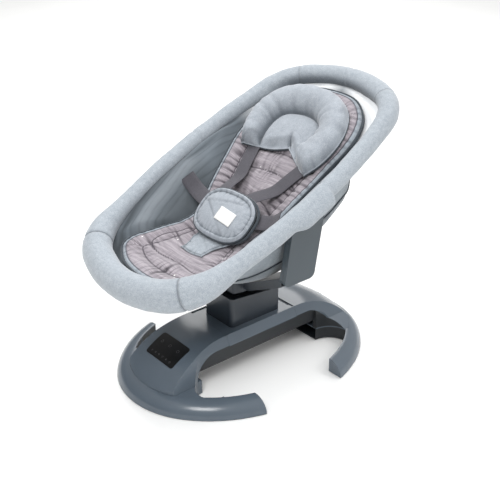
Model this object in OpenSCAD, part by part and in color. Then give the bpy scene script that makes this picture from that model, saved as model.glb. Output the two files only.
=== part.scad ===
// Electric baby swing: a floor base with two C-shaped feet, a housing with the swing drive,
// a U-shaped yoke, and an oval padded hoop seat with a harness.
// +X is the baby's left, +Y the head end, +Z up; the origin lies on the floor under the middle.

/* [Base] */
// Length of the base over both feet
base_length = 650; // [640:1:660]
// Width of the base over both feet
base_width = 510; // [504:1:516]
// Width of a foot's cross-section
foot_width = 39; // [38:0.5:42]
// Height of a foot
foot_height = 36; // [34:0.5:37]
// Distance from the middle to the tips of the front foot
front_tip_y = 125; // [110:1:135]
// Distance from the middle to the tips of the rear foot
rear_tip_y = 98; // [90:1:110]
// Height of the bridge's upper edges
deck_height = 118; // [116:1:119]
// Width of the bridge
bridge_width = 160; // [156:1:162]
// Free height under the bridge
bridge_clearance = 58; // [54:1:62]

/* [Housing] */
// Width of the drive housing
housing_width = 103; // [100:1:106]
// Length of the drive housing
housing_length = 150; // [148:1:152]
// Height of the housing's front top edge
housing_top = 190; // [189:0.5:191]
// Slope of the housing's top, in degrees
housing_slope = 6; // [5.5:0.1:6.2]
// Height of the swing shaft
shaft_z = 150; // [149:0.5:151]
// Diameter of the swing shaft
shaft_d = 12; // [10:0.5:13]

/* [Yoke] */
// Distance from the middle to the outer face of an arm at its foot
arm_x = 191; // [190.5:0.5:192]
// Height of an arm's lower end
arm_z = 266; // [265:0.5:267]
// Length of an arm
arm_length = 170; // [169:0.5:171]
// Width of an arm along the base
arm_width = 88; // [84:1:92]
// Thickness of an arm
arm_thickness = 18; // [17.5:0.1:18]
// Outward lean of an arm, in degrees
arm_lean = 8.8; // [8.6:0.1:9]

/* [Seat] */
// Height of the hoop's middle
hoop_z = 464; // [463:0.5:465]
// Slope of the seat hoop from foot to head, in degrees
hoop_tilt = 25.6; // [25.4:0.1:25.8]
// Half the width of the hoop, to the tube's centre line
hoop_half_width = 224; // [223:0.5:225]
// Half the length of the hoop, to the tube's centre line
hoop_half_length = 372; // [370:1:374]
// Diameter of the hoop's steel tube
hoop_tube_d = 20; // [19:0.5:20]
// Radius of the padded roll at the foot
foot_roll_r = 34; // [32:1:35]
// Radius of the padded roll at the sides
side_roll_r = 21; // [20:0.5:21]
// Radius of the padded roll at the head
head_roll_r = 25; // [24:1:26]
// Width of the harness webbing
webbing_width = 38; // [34:1:40]

/* [Hidden] */
$fn = 64;

shell_slate = "#59626b";
chassis_black = "#171b1f";
housing_grey = "#3d444d";
steel = "#aab0b5";
fabric_grey = "#a9b2b9";
print_mauve = "#b3a9ae";
webbing_grey = "#5b5960";
board_green = "#2f5d43";
copper = "#b0713c";

wall = 2.5;
part_gap = 0.4;
running_gap = 0.04;
cut = 0.01;
big = 1000;

half_width = base_width / 2;
half_length = base_length / 2;
half_bridge = bridge_width / 2;

// ---------------------------------------------------------------- ovals made of arcs
// An oval is [side offset, side radius, corner centre x and y, corner radius, end offset,
// end radius]: per quarter a side arc, a corner arc and an end arc that meet in tangents.
function arc_offset(half, cx, cy, r, toward) =
    ((half - r) ^ 2 - cx ^ 2 - cy ^ 2) / (2 * (toward - (half - r)));
function make_oval(a, b, cx, cy, r) =
    let (s = arc_offset(a, cx, cy, r, cx), e = arc_offset(b, cx, cy, r, cy))
    [s, a + s, cx, cy, r, e, b + e];
function side_angle(o) = atan2(o[3], o[2] + o[0]);
function end_angle(o) = let (s = o[6] > o[4] ? 1 : -1) atan2(s * (o[3] + o[5]), s * o[2]);
function fold(a) = asin(abs(sin(a)));
function sgn(v) = v < 0 ? -1 : 1;

// Point of an oval where the outward normal has the angle a, moved inward by inset
function quarter_point(o, a, inset) = a < side_angle(o)
    ? [-o[0] + (o[1] - inset) * cos(a), (o[1] - inset) * sin(a)]
    : a < end_angle(o)
        ? [o[2] + (o[4] - inset) * cos(a), o[3] + (o[4] - inset) * sin(a)]
        : [(o[6] - inset) * cos(a), -o[5] + (o[6] - inset) * sin(a)];
function oval_point(o, a, inset = 0) =
    let (p = quarter_point(o, fold(a), inset)) [sgn(cos(a)) * p[0], sgn(sin(a)) * p[1]];

// Number of straight steps that keep an arc within sag of its true curve
function steps(r, angle, sag) = max(2, ceil(r * angle * PI / 180 / sqrt(8 * r * sag)));
// Normal angles of the stations round an oval
function quarter_angles(o, sag) =
    let (s = side_angle(o), e = end_angle(o),
         a = steps(o[1], s, sag), b = steps(o[4], e - s, sag), c = steps(o[6], 90 - e, sag)) [
    for (i = [0:a - 1]) s * i / a,
    for (i = [0:b - 1]) s + (e - s) * i / b,
    for (i = [0:c - 1]) e + (90 - e) * i / c,
];
function loop_angles(o, sag = 0.45) = let (q = quarter_angles(o, sag), n = len(q)) [
    for (a = q) a,
    90,
    for (i = [n - 1:-1:1]) 180 - q[i],
    180,
    for (i = [1:n - 1]) 180 + q[i],
    270,
    for (i = [n - 1:-1:1]) 360 - q[i],
];
function angles_between(o, from, to, sag = 0.45) = [
    from,
    for (turn = [-360, 0], a = loop_angles(o, sag)) if (a + turn > from + 1 && a + turn < to - 1) a + turn,
    to,
];

// A 2D section, drawn with the oval's line at x = 0 and its outside at +x, swept round the
// corners of an oval, or round its sides and ends; lap lengthens the arcs' ends
module arc_sweep(radius, from, to) {
    rotate([0, 0, from]) rotate_extrude(angle = to - from, $fn = 144) translate([radius, 0]) children();
}
module corner_arcs(o) {
    for (x = [0, 1], y = [0, 1]) mirror([x, 0, 0]) mirror([0, y, 0])
        translate([o[2], o[3]]) arc_sweep(o[4], side_angle(o), end_angle(o)) children();
}
module side_and_end_arcs(o, lap) {
    s = side_angle(o) + lap / o[1] * 180 / PI;
    e = end_angle(o) - lap / o[6] * 180 / PI;
    for (turn = [0, 180]) rotate([0, 0, turn]) {
        translate([-o[0], 0]) arc_sweep(o[1], -s, s) children();
        translate([0, -o[5]]) arc_sweep(o[6], e, 180 - e) children();
    }
}
// Prism of an oval's outline moved inward
module oval_disc(o, inset, height) {
    linear_extrude(height) polygon([for (a = loop_angles(o)) oval_point(o, a, inset)]);
}
// A sleeve along an oval: at every normal angle a ring of points between an outer and an
// inner line of [out, up] points. A closed sleeve goes all round, an open one has two edges.
module oval_sleeve(o, angles, outer, inner, closed) {
    m = len(angles);
    n = len(outer(angles[0]));
    function place(a, q) = let (p = oval_point(o, a)) [p[0] + q[0] * cos(a), p[1] + q[0] * sin(a), q[1]];
    points = [for (a = angles) each [for (q = outer(a)) place(a, q), for (q = inner(a)) place(a, q)]];
    last = 2 * n * (m - 1);
    faces = [
        for (j = [0:closed ? n - 1 : n - 2]) let (k = (j + 1) % n) each [
            [j, n + j, n + k, k],
            [last + j, last + k, last + n + k, last + n + j],
            for (i = [0:m - 2]) let (b = 2 * n * i, c = b + 2 * n) each [
                [b + j, b + k, c + k, c + j],
                [b + n + j, c + n + j, c + n + k, b + n + k]]],
        if (!closed) for (i = [0:m - 2]) let (b = 2 * n * i, c = b + 2 * n) each [
            [b, c, c + n, b + n],
            [b + n - 1, b + 2 * n - 1, c + 2 * n - 1, c + n - 1]],
    ];
    polyhedron(points, faces);
}

base_oval = make_oval(half_width, half_length, -56, 44, 300.7);
hoop_oval = make_oval(hoop_half_width, hoop_half_length, 69, 227, 131);

// ---------------------------------------------------------------- shared shapes
module round_rect(w, h, r) {
    square([w - 2 * r, h], center = true);
    square([w, h - 2 * r], center = true);
    for (x = [-1, 1], y = [-1, 1]) translate([x * (w / 2 - r), y * (h / 2 - r)]) circle(r);
}
module round_block(w, l, h, r) {
    linear_extrude(h) round_rect(w, l, r);
}
module both_sides() {
    children();
    mirror([1, 0, 0]) children();
}
// The closed outline that a half-outline on the +X side makes with its mirror image
function symmetric(half) = [each half, for (i = [len(half) - 1:-1:0]) [-half[i][0], half[i][1]]];
// A section in the XZ plane drawn out along Y
module along_y(from, to) {
    translate([0, to, 0]) rotate([90, 0, 0]) linear_extrude(to - from) children();
}
// A section drawn as (y, z) drawn out along X
module along_x(from, to) {
    translate([from, 0, 0]) rotate([90, 0, 90]) linear_extrude(to - from) children();
}
module rod_x(from, to, r) {
    translate([from, 0, 0]) rotate([0, 90, 0]) cylinder(h = to - from, r = r);
}
module rod_y(from, to, r) {
    translate([0, from, 0]) rotate([-90, 0, 0]) cylinder(h = to - from, r = r);
}
// A coil spring drawn as its separate windings
module windings(coil_r, wire_r, length, count) {
    pitch = (length - 2 * wire_r) / (count - 1);
    for (i = [0:count - 1]) translate([0, 0, wire_r + i * pitch])
        rotate_extrude($fn = 32) translate([coil_r, 0]) circle(wire_r, $fn = 16);
}

// ---------------------------------------------------------------- feet
skirt_gap = 1.5;
tray_z = 3;
tray_top = foot_height - wall - part_gap;
// Round ends of the side openings, front and rear: [x, y, radius]
front_round = [120, 186, 40];
rear_round = [137, 170, 53];
web_half = 160;
web_end = 292;
web_merge = 37.5;
seam_inset = 31;
foot_sag = 0.2;

// Foot as a solid strip along the oval: quarter-round outside, upright inside
function foot_arc(r, floor_z) = let (low = asin(floor_z / r))
    [for (i = [0:10]) let (t = low + (90 - low) * i / 10) [r * cos(t) - foot_height, r * sin(t)]];
module foot_strip(r, depth, floor_z) {
    oval_sleeve(base_oval, angles_between(base_oval, 184, 356, foot_sag),
        function (a) foot_arc(r, floor_z),
        function (a) [for (q = foot_arc(r, floor_z)) [-depth, q[1]]],
        false);
}
function base_outline(inset) = [for (a = loop_angles(base_oval, foot_sag)) oval_point(base_oval, a, inset)];
module base_ring(outer, inner, height) {
    linear_extrude(height) difference() {
        polygon(base_outline(outer));
        polygon(base_outline(inner));
    }
}
// Keeps what lies in front of the plane y = -tip
module ahead_of(tip) {
    intersection() {
        children();
        translate([-half_width - 1, -tip - big, -1]) cube([base_width + 2, big, foot_height + 2]);
    }
}
// The flat web between a foot and the bridge, round the closed ends of the side openings
module web_outline(end) {
    difference() {
        translate([-web_half, -web_end]) square([2 * web_half, web_end - end[1]]);
        both_sides() translate([end[0], -end[1]]) circle(end[2]);
    }
}
module web_plate(end, merge) {
    linear_extrude(wall) intersection() {
        web_outline(end);
        polygon(base_outline(merge));
    }
}
boss_r = 4;
module foot_cover(tip, end, walled) {
    color(shell_slate) difference() {
        union() {
            difference() {
                ahead_of(tip) foot_strip(foot_height, foot_width, skirt_gap);
                ahead_of(tip + wall) foot_strip(foot_height - wall, foot_width + 1, 0);
            }
            translate([0, 0, foot_height - wall]) web_plate(end, web_merge);
            if (walled) opening_round(end, end[2], skirt_gap, foot_height, foot_width + part_gap);
            at_screws() translate([0, 0, tray_z + wall + part_gap])
                cylinder(h = foot_height - tray_z - 2 * wall, r = boss_r);
        }
        at_screws() translate([0, 0, tray_z]) cylinder(h = screw_length + 2, r = screw_r);
    }
}
module foot_tray(tip, end, wall_r) {
    color(chassis_black) difference() {
        union() {
            ahead_of(tip + wall + part_gap) difference() {
                foot_ring_tray();
                translate([-web_half + 30, -half_length, tray_z + wall])
                    cube([2 * web_half - 60, half_length - end[1] - end[2] * 0.6, foot_height]);
            }
            translate([0, 0, tray_z]) web_plate([end[0], end[1], wall_r], foot_width - 2);
            opening_round(end, wall_r, tray_z, tray_top, foot_width - 1);
        }
        at_screws() cylinder(h = foot_height / 2, r = screw_r + 0.2);
    }
}
tray_lip = 5;
module foot_ring_tray() {
    translate([0, 0, tray_z]) {
        base_ring(tray_lip, foot_width, wall);
        base_ring(foot_width - wall, foot_width, tray_top - tray_z);
    }
}
// Upright wall round the closed end of a side opening, from one height to another, stopping
// at an inset from the oval
module opening_round(end, r, low, high, inset) {
    both_sides() intersection() {
        translate([end[0], -end[1], low]) difference() {
            cylinder(h = high - low, r = r + wall);
            translate([0, 0, -1]) cylinder(h = foot_height + 2, r = r);
        }
        translate([0, -web_end, 0]) cube([web_half, web_end - end[1], foot_height]);
        linear_extrude(foot_height) polygon(base_outline(inset));
    }
}
// Round the front openings the cover turns down outside the tray's wall; at the rear only
// the tray has a wall
module front_foot_cover() { foot_cover(front_tip_y, front_round, true); }
module rear_foot_cover() { mirror([0, 1, 0]) foot_cover(rear_tip_y, rear_round, false); }
module front_foot_tray() { foot_tray(front_tip_y, front_round, front_round[2] + wall + part_gap); }
module rear_foot_tray() { mirror([0, 1, 0]) foot_tray(rear_tip_y, rear_round, rear_round[2]); }

// Screws from below that hold tray and cover together
screw_r = 1.5;
screw_length = 14;
screw_spots = [[40, -262], [96, -262]];
module at_screws() {
    both_sides() for (p = screw_spots) translate([p[0], p[1], 0]) children();
}
module base_screws() {
    color(steel) for (turn = [0, 1]) mirror([0, turn, 0]) at_screws() {
        translate([0, 0, skirt_gap]) cylinder(h = tray_z - skirt_gap, r = 3.5);
        translate([0, 0, tray_z - cut]) cylinder(h = screw_length, r = screw_r);
    }
}

// Rubber pads under the trays: [x, y] on the baby's left, repeated on the right
pad_spots = [[211, -142], [131, -254], [219, 118], [131, 254]];
module rubber_feet() {
    color(chassis_black) both_sides() for (p = pad_spots)
        translate([p[0], p[1], 0]) cylinder(h = tray_z, r = 11);
}

// ---------------------------------------------------------------- decks and bridge
lip_z = 95;
lip_run = 10;
deck_drop = 2;
deck_top = deck_height - deck_drop;
seam_y = 105;
bow_r = 204;
bow_y = 130;
arch_y = 139;
arch_z = 35;
arch_r = 60;
front_base_half = 90;
rear_knee_x = 95;
rear_knee_z = 60;
rear_base_half = 132;

// Section across the base: over the upper edge, down the flank to the web
function deck_sides(rear, inset) = symmetric(concat(
    [[half_bridge - lip_run - inset, deck_height - inset], [half_bridge - inset, lip_z]],
    rear ? [[rear_knee_x - inset, rear_knee_z], [rear_base_half - inset, foot_height]]
         : [[front_base_half - inset, foot_height]]));
// The decks' upper surface, turned round the Z axis: flat in the middle, then a bow down to
// the feet
module deck_bow(inset) {
    rotate_extrude($fn = 180) intersection() {
        union() {
            translate([bow_y, deck_height - bow_r]) circle(bow_r - inset);
            translate([0, foot_height]) square([bow_y, deck_height - foot_height - inset]);
        }
        translate([0, foot_height]) square([half_length, deck_height]);
    }
}
module deck_solid(rear, inset) {
    intersection() {
        along_y(-half_length, -seam_y) polygon(deck_sides(rear, inset));
        deck_bow(inset);
        oval_disc(base_oval, seam_inset + inset, deck_height + 1);
    }
}
// What the side openings take away, widened by margin
module side_openings(end, margin) {
    r = end[2] + margin;
    both_sides() translate([end[0], -end[1], -1]) {
        cylinder(h = deck_height + 2, r = r);
        translate([-r, 0, 0]) cube([3 * end[2], end[1], deck_height + 2]);
    }
}
// The front deck turns down into a wall round its side openings; the rear one stays open
module deck_shell(rear) {
    difference() {
        deck_solid(rear, 0);
        difference() {
            translate([0, cut, -cut]) deck_solid(rear, wall);
            if (!rear) side_openings(front_round, wall);
        }
        side_openings(rear ? rear_round : front_round, 0);
        along_x(-half_width, half_width) {
            translate([-arch_y, arch_z]) circle(arch_r, $fn = 96);
            translate([-arch_y, 0]) square([arch_y, lip_z]);
        }
    }
}
// Black wall that closes the rear deck along the round ends of the side openings
opening_wall_thickness = 10;
module opening_wall() {
    r = rear_round[2];
    mirror([0, 1, 0]) intersection() {
        deck_solid(true, wall + part_gap);
        both_sides() translate([rear_round[0], -rear_round[1], foot_height + part_gap]) difference() {
            cylinder(h = deck_height, r = r + opening_wall_thickness);
            translate([0, 0, -1]) cylinder(h = deck_height + 2, r = r);
            translate([-2 * r, 2, -1]) cube([4 * r, 2 * r, deck_height + 2]);
        }
    }
}

// A frame on a deck's bow at an angle down from the bridge, z pointing out of the surface
module on_bow(angle) {
    translate([0, -bow_y - bow_r * sin(angle), deck_height - bow_r + bow_r * cos(angle)])
        rotate([angle, 0, 0]) children();
}
panel_angle = 27;
panel_width = 101;
panel_length = 62;
panel_thickness = 3;
panel_proud = 0.4;
socket_angle = 40;
socket_r = 6;
plug_r = 2.75;

module front_deck() {
    color(shell_slate) difference() {
        deck_shell(false);
        on_bow(panel_angle) translate([0, 0, -10])
            round_block(panel_width + 2 * part_gap, panel_length + 2 * part_gap, 20, 7);
    }
}
module rear_deck() {
    color(shell_slate) mirror([0, 1, 0]) difference() {
        deck_shell(true);
        on_bow(socket_angle) cylinder(h = 20, r = socket_r + part_gap / 2, center = true);
    }
}
module control_panel() {
    color("#0c0c0e") intersection() {
        on_bow(panel_angle) translate([0, 0, -10]) round_block(panel_width, panel_length, 20, 6.6);
        difference() {
            deck_bow(-panel_proud);
            deck_bow(panel_thickness);
        }
    }
}
module panel_board() {
    color(board_green) on_bow(panel_angle) translate([0, 0, -8.8])
        round_block(panel_width - 12, panel_length - 14, 1.6, 3);
}
module dc_socket() {
    color(chassis_black) mirror([0, 1, 0]) on_bow(socket_angle) difference() {
        translate([0, 0, -16]) cylinder(h = 16.5, r = socket_r);
        translate([0, 0, -11]) cylinder(h = 12, r = plug_r);
    }
}

deck_panel_half = half_bridge - lip_run - 3;
// Two shallow slots in the bridge's top, behind the housing and on the right in front of it
slot_width = 3;
slot_depth = 1;
module bridge_section() {
    polygon(symmetric([
        [deck_panel_half, deck_top], [deck_panel_half, deck_height],
        [half_bridge - lip_run, deck_height], [half_bridge, lip_z], [half_bridge, lip_z - 2]]));
}
module bridge_hollow() {
    polygon(symmetric([
        [half_bridge - lip_run - wall, deck_top - wall], [half_bridge - wall, lip_z], [half_bridge - wall, 0]]));
}
module bridge_cover() {
    end = seam_y - part_gap;
    color(shell_slate) difference() {
        along_y(-end, end) bridge_section();
        along_y(-seam_y - 1, seam_y + 1) bridge_hollow();
        translate([0, 0, lip_z]) round_block(housing_width - 14, housing_length - 14, big, 6);
        translate([-12, housing_length / 2 + 24, deck_top - slot_depth]) cube([66, slot_width, 2]);
        translate([-deck_panel_half, 1 - seam_y, deck_top - slot_depth]) cube([slot_width, 50, 2]);
    }
}
beam_half = half_bridge - wall - part_gap - 1;
beam_wall = 3;
beam_top = lip_z - 2 - part_gap;
beam_floor = bridge_clearance + beam_wall;
beam_end = 205;
leg_start = 183;
leg_half = 40;
leg_z = foot_height + part_gap;
// Box of the beam and of its two legs
module beam_boxes(inset, top) {
    half = beam_half - inset;
    leg = leg_half - inset;
    translate([-half, -beam_end + inset, bridge_clearance + inset])
        cube([2 * half, 2 * (beam_end - inset), top - bridge_clearance - inset]);
    for (y = [-beam_end + inset, leg_start + inset]) translate([-leg, y, leg_z + inset])
        cube([2 * leg, beam_end - leg_start - 2 * inset, bridge_clearance]);
}
module bridge_beam() {
    color(chassis_black) {
        difference() {
            beam_boxes(0, beam_top);
            beam_boxes(beam_wall, big);
        }
        opening_wall();
    }
}

// ---------------------------------------------------------------- drive housing
// Keeps what lies under the housing's sloping top, lowered by drop
module under_slope(drop) {
    intersection() {
        children();
        translate([0, -housing_length / 2, housing_top - drop]) rotate([-housing_slope, 0, 0])
            translate([-big / 2, -big / 2, -big]) cube(big);
    }
}
housing_wall = 3;
cap_drop = 2.5;
cap_thickness = 3;
slot_half = 28;
hub_half_length = 46;
module housing_shell() {
    color(housing_grey) under_slope(0) difference() {
        translate([0, 0, deck_top]) round_block(housing_width, housing_length, big, 10);
        translate([0, 0, deck_top - 1])
            round_block(housing_width - 2 * housing_wall, housing_length - 2 * housing_wall, big, 7);
    }
}
module housing_cap() {
    inner = 2 * housing_wall + 2 * part_gap;
    color(chassis_black) difference() {
        under_slope(cap_drop) translate([0, 0, deck_top + 5])
            round_block(housing_width - inner, housing_length - inner, big, 6.6);
        under_slope(cap_drop + cap_thickness) translate([0, 0, deck_top])
            round_block(housing_width, housing_length, big, 10);
        translate([0, 0, deck_top]) round_block(2 * slot_half, 2 * hub_half_length + 12, big, 6);
    }
}

bearing_r = 13;
bearing_width = 8;
bearing_y = 61;
block_width = 40;
block_length = 11;
module both_ends() {
    children();
    mirror([0, 1, 0]) children();
}
module bearing_blocks() {
    color("#c9cdd0") both_ends() difference() {
        translate([-block_width / 2, bearing_y - block_length / 2, beam_floor])
            cube([block_width, block_length, shaft_z + 18 - beam_floor]);
        translate([0, 0, shaft_z]) rod_y(0, big, bearing_r);
    }
}
module bearing(y) {
    color(steel) translate([0, y, shaft_z]) difference() {
        rod_y(-bearing_width / 2, bearing_width / 2, bearing_r);
        rod_y(-bearing_width, bearing_width, shaft_d / 2 + running_gap);
    }
}
module front_bearing() { bearing(-bearing_y); }
module rear_bearing() { bearing(bearing_y); }
coil_height = 28;
module drive_coil() {
    color(copper) translate([0, 0, beam_floor]) difference() {
        cylinder(h = coil_height, r = 26);
        translate([0, 0, 4]) cylinder(h = coil_height, r = 10);
    }
}
board_length = 90;
module main_board() {
    color(board_green) translate([-50, 90, beam_floor + 4]) cube([100, board_length, 1.6]);
    color(chassis_black) for (x = [-36, 0, 36], y = [110, 150])
        translate([x - 6, y, beam_floor]) cube([12, 12, 4]);
}
module speaker() {
    color(chassis_black) translate([0, -125, beam_floor]) {
        difference() {
            cylinder(h = 5, r = 28);
            translate([0, 0, 2]) cylinder(h = 4, r = 25);
        }
        cylinder(h = 17, r = 13);
    }
}

// ---------------------------------------------------------------- swinging yoke
yoke_y = 4;
frame_half_width = 30;
cover_half_width = 38;
elbow = [58, 214];
shoulder = [181, 274];
hinge_reach = 156;
hinge_x = arm_x + hinge_reach * sin(arm_lean);
hinge_z = arm_z + hinge_reach * cos(arm_lean);
hinge_ear_x = 203.5;
ear_start = [198, 396];
pin_r = 5;
hub_rise = 10;
hub_half = 44;
hub_block_half = 62;

// A bar of a given thickness from p to q, with round ends, in the XZ plane
module bar(p, q, thickness) {
    d = q - p;
    translate(p) rotate(atan2(d[1], d[0])) translate([0, -thickness / 2]) square([norm(d), thickness]);
    translate(q) circle(thickness / 2);
}
module cross_beam(thickness) {
    both_sides() {
        bar([0, elbow[1]], elbow, thickness);
        bar(elbow, shoulder, thickness);
    }
}
module swing_shaft() {
    color(steel) translate([0, 0, shaft_z]) rod_y(-bearing_y - 7, bearing_y + 7, shaft_d / 2);
}
tail_z = 114;
stem_half = 18;
frame_thickness = 4;
module swing_hub() {
    top = elbow[1] - frame_thickness / 2;
    color("#2b3036") difference() {
        along_y(-hub_half_length, hub_half_length) {
            translate([0, shaft_z]) circle(stem_half);
            translate([-stem_half, shaft_z]) square([2 * stem_half, top - shaft_z]);
            translate([-stem_half / 2, tail_z]) square([stem_half, shaft_z - tail_z]);
        }
        translate([0, 0, shaft_z]) rod_y(-big / 2, big / 2, shaft_d / 2);
    }
}
module drive_magnet() {
    color(steel) translate([-10, -20, tail_z - 13]) cube([20, 40, 13]);
}
module centering_springs() {
    color(steel) both_ends() translate([0, hub_half_length + 0.3, shaft_z]) rotate([-90, 0, 0])
        windings(shaft_d / 2 + 2.5, 1, bearing_y - block_length / 2 - hub_half_length - 0.6, 5);
}
module yoke_frame() {
    color(steel) difference() {
        along_y(yoke_y - frame_half_width, yoke_y + frame_half_width) {
            cross_beam(frame_thickness);
            both_sides() {
                bar(shoulder, ear_start, frame_thickness);
                bar(ear_start, [hinge_ear_x, hinge_z - 20], frame_thickness);
                bar([hinge_ear_x, hinge_z - 20], [hinge_ear_x, hinge_z + 8], frame_thickness);
            }
        }
        translate([0, yoke_y, hinge_z]) rod_x(-big, big, pin_r);
        both_sides() roll_clearance(wall + part_gap);
    }
}
cover_thickness = 20;
cover_reach = arm_inner(shoulder[1] - cover_thickness / 2);
module yoke_cover_solid(inset) {
    along_y(yoke_y - cover_half_width + inset, yoke_y + cover_half_width - inset) intersection() {
        cross_beam(cover_thickness - 2 * inset);
        translate([-cover_reach, 0]) square([2 * cover_reach, big]);
    }
    difference() {
        translate([0, 0, shaft_z]) round_block(2 * (hub_half - inset), 2 * (hub_block_half - inset),
            elbow[1] + cover_thickness / 2 - inset - shaft_z, 8 - inset);
        under_slope(-hub_rise - inset) translate([0, 0, -big / 2]) round_block(big / 2, big / 2, big * 2, 1);
    }
}
// X of the arm's inner face at a height
function arm_inner(z) = arm_x + (z - arm_z) * tan(arm_lean) - arm_thickness / cos(arm_lean) - part_gap;
module yoke_cover() {
    color("#353b42") difference() {
        yoke_cover_solid(0);
        yoke_cover_solid(wall);
        translate([-stem_half - part_gap, -hub_half_length - part_gap, shaft_z])
            cube([2 * (stem_half + part_gap), 2 * (hub_half_length + part_gap), elbow[1] - shaft_z]);
    }
}

// The frame of the left arm: z up along it, x out of its outer face, y as the base's
module arm_frame() {
    translate([arm_x, yoke_y, arm_z]) rotate([0, arm_lean, 0]) children();
}
// A slab of the arm between two depths under its outer face
module arm_slab(deep, shallow, inset) {
    r = 14 - inset;
    translate([-deep, 0, 0]) rotate([90, 0, 90]) linear_extrude(deep - shallow) {
        translate([-arm_width / 2 + inset, r + inset]) square([arm_width - 2 * inset, arm_length - r - 2 * inset]);
        translate([-arm_width / 2 + r + inset, inset]) square([arm_width - 2 * (r + inset), r]);
        for (y = [-1, 1]) translate([y * (arm_width / 2 - r - inset), r + inset]) circle(r);
    }
}
// The wedge cut off an arm's front top corner, so that the tilted roll clears it
recline_up = 6;
module roll_clearance(inset) {
    slope = hoop_tilt + recline_up;
    reach = (hoop_z - hinge_z) * cos(hoop_tilt) - side_roll_r - 1.2 - inset;
    translate([arm_x - 40, yoke_y, hinge_z]) rotate([slope, 0, 0]) translate([0, -100, reach])
        cube([80, 130, 60]);
}
split = 8;
button_r = 8;
plate_x = 206.4;
plate_thickness = 3;
plate_half = 11;
module plate_slot() {
    translate([plate_x - 0.8, yoke_y - 18, hinge_z]) cube([plate_thickness + 3, 36, 40]);
}
module arm_cover() {
    color(shell_slate) difference() {
        arm_frame() arm_slab(split, 0, 0);
        difference() {
            arm_frame() translate([-cut, 0, 0]) arm_slab(split, wall, wall);
            roll_clearance(wall);
        }
        roll_clearance(0);
        translate([0, yoke_y, hinge_z]) rod_x(hinge_x - 6, hinge_x + 6, button_r + part_gap);
        plate_slot();
    }
}
module arm_liner() {
    color(shell_slate) difference() {
        arm_frame() arm_slab(arm_thickness, split + part_gap, 0);
        difference() {
            arm_frame() translate([cut, 0, 0]) arm_slab(arm_thickness - wall, split, wall);
            roll_clearance(wall);
        }
        roll_clearance(0);
        plate_slot();
        along_y(yoke_y - cover_half_width + wall, yoke_y + cover_half_width - wall)
            translate([arm_inner(shoulder[1]) - 10, shoulder[1] - 18]) square([20, 28]);
    }
}
module left_arm_cover() { arm_cover(); }
module right_arm_cover() { mirror([1, 0, 0]) arm_cover(); }
module left_arm_liner() { arm_liner(); }
module right_arm_liner() { mirror([1, 0, 0]) arm_liner(); }
pin_end = plate_x + plate_thickness + 0.3;
module hinge_pins() {
    color(steel) both_sides() translate([0, yoke_y, hinge_z])
        rod_x(hinge_ear_x - frame_thickness / 2, pin_end, pin_r);
}
button_reach = 3;
button_depth = 5;
// How far a button goes in; the springs are drawn at the length that this leaves them
press_travel = 2.4;
module recline_springs() {
    color(steel) both_sides() translate([pin_end, yoke_y, hinge_z]) rotate([0, 90, 0])
        windings(3.6, 0.5, hinge_x + button_reach - 2 - pin_end - press_travel, 3);
}
module recline_button() {
    color("#2b3036") translate([0, yoke_y, hinge_z]) difference() {
        rod_x(hinge_x + button_reach - button_depth, hinge_x + button_reach, button_r);
        rod_x(0, hinge_x + button_reach - 2, 5);
    }
}
module left_recline_button() { recline_button(); }
module right_recline_button() { mirror([1, 0, 0]) recline_button(); }

// ---------------------------------------------------------------- seat
// The seat's frame: x to the baby's left, y along the hoop to the head, z out of the seat
module seat_frame() {
    translate([0, yoke_y, hoop_z]) rotate([hoop_tilt, 0, 0]) children();
}
// The hoop's tube: corner bends with the ends of the side and end pieces plugged into them
plug_step = 0.8;
plug_lap = 10;
module hoop_tube(r) {
    seat_frame() {
        corner_arcs(hoop_oval) circle(r);
        side_and_end_arcs(hoop_oval, plug_lap) circle(r - plug_step);
    }
}
module hoop_frame() {
    color(steel) hoop_tube(hoop_tube_d / 2);
}
module hinge_plate() {
    outer = plate_x + plate_thickness;
    color(steel) difference() {
        union() {
            translate([0, yoke_y, hinge_z]) rod_x(plate_x, outer, 13);
            along_y(yoke_y - plate_half, yoke_y + plate_half) polygon([
                [plate_x, hinge_z], [outer, hinge_z], [outer, hinge_z + 17],
                [hoop_half_width, hoop_z - 13], [hoop_half_width, hoop_z - 6],
                [plate_x + 8, hoop_z - 10], [plate_x, hinge_z + 19]]);
        }
        translate([0, yoke_y, hinge_z]) rod_x(0, big, pin_r + running_gap);
        seat_frame() side_and_end_arcs(hoop_oval, plug_lap) circle(hoop_tube_d / 2 - plug_step);
    }
}
module left_hinge_plate() { hinge_plate(); }
module right_hinge_plate() { mirror([1, 0, 0]) hinge_plate(); }

function smooth(from, to, t) = let (u = min(1, max(0, (t - from) / (to - from)))) u * u * (3 - 2 * u);

// Radius of the padded roll at a place along the hoop
function roll_r(v) = side_roll_r + (foot_roll_r - side_roll_r) * smooth(-190, -335, v)
    + (head_roll_r - side_roll_r) * smooth(190, 340, v);

// A padded sleeve round the hoop's tube between two normal angles
roll_sides = 12;
seam_gap = 0.15;
function ring(r) = [for (j = [0:roll_sides - 1]) let (t = 360 * j / roll_sides) [r * cos(t), r * sin(t)]];
module roll(from, to) {
    seat_frame() oval_sleeve(hoop_oval, angles_between(hoop_oval, from + seam_gap, to - seam_gap),
        function (a) ring(roll_r(oval_point(hoop_oval, a)[1])),
        function (a) ring(hoop_tube_d / 2 + 1.2),
        true);
}
foot_seam = 45;
head_seam = 59;
module side_roll() {
    color(fabric_grey) difference() {
        roll(-foot_seam, head_seam);
        translate([plate_x - 2, yoke_y - plate_half - 3, hinge_z])
            cube([hoop_half_width + 2 - plate_x, 2 * (plate_half + 3), hoop_z - 3 - hinge_z]);
    }
}
module left_roll() { side_roll(); }
module right_roll() { mirror([1, 0, 0]) side_roll(); }
module foot_roll() { color(fabric_grey) roll(180 + foot_seam, 360 - foot_seam); }
module head_roll() { color(fabric_grey) roll(head_seam, 180 - head_seam); }

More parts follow.
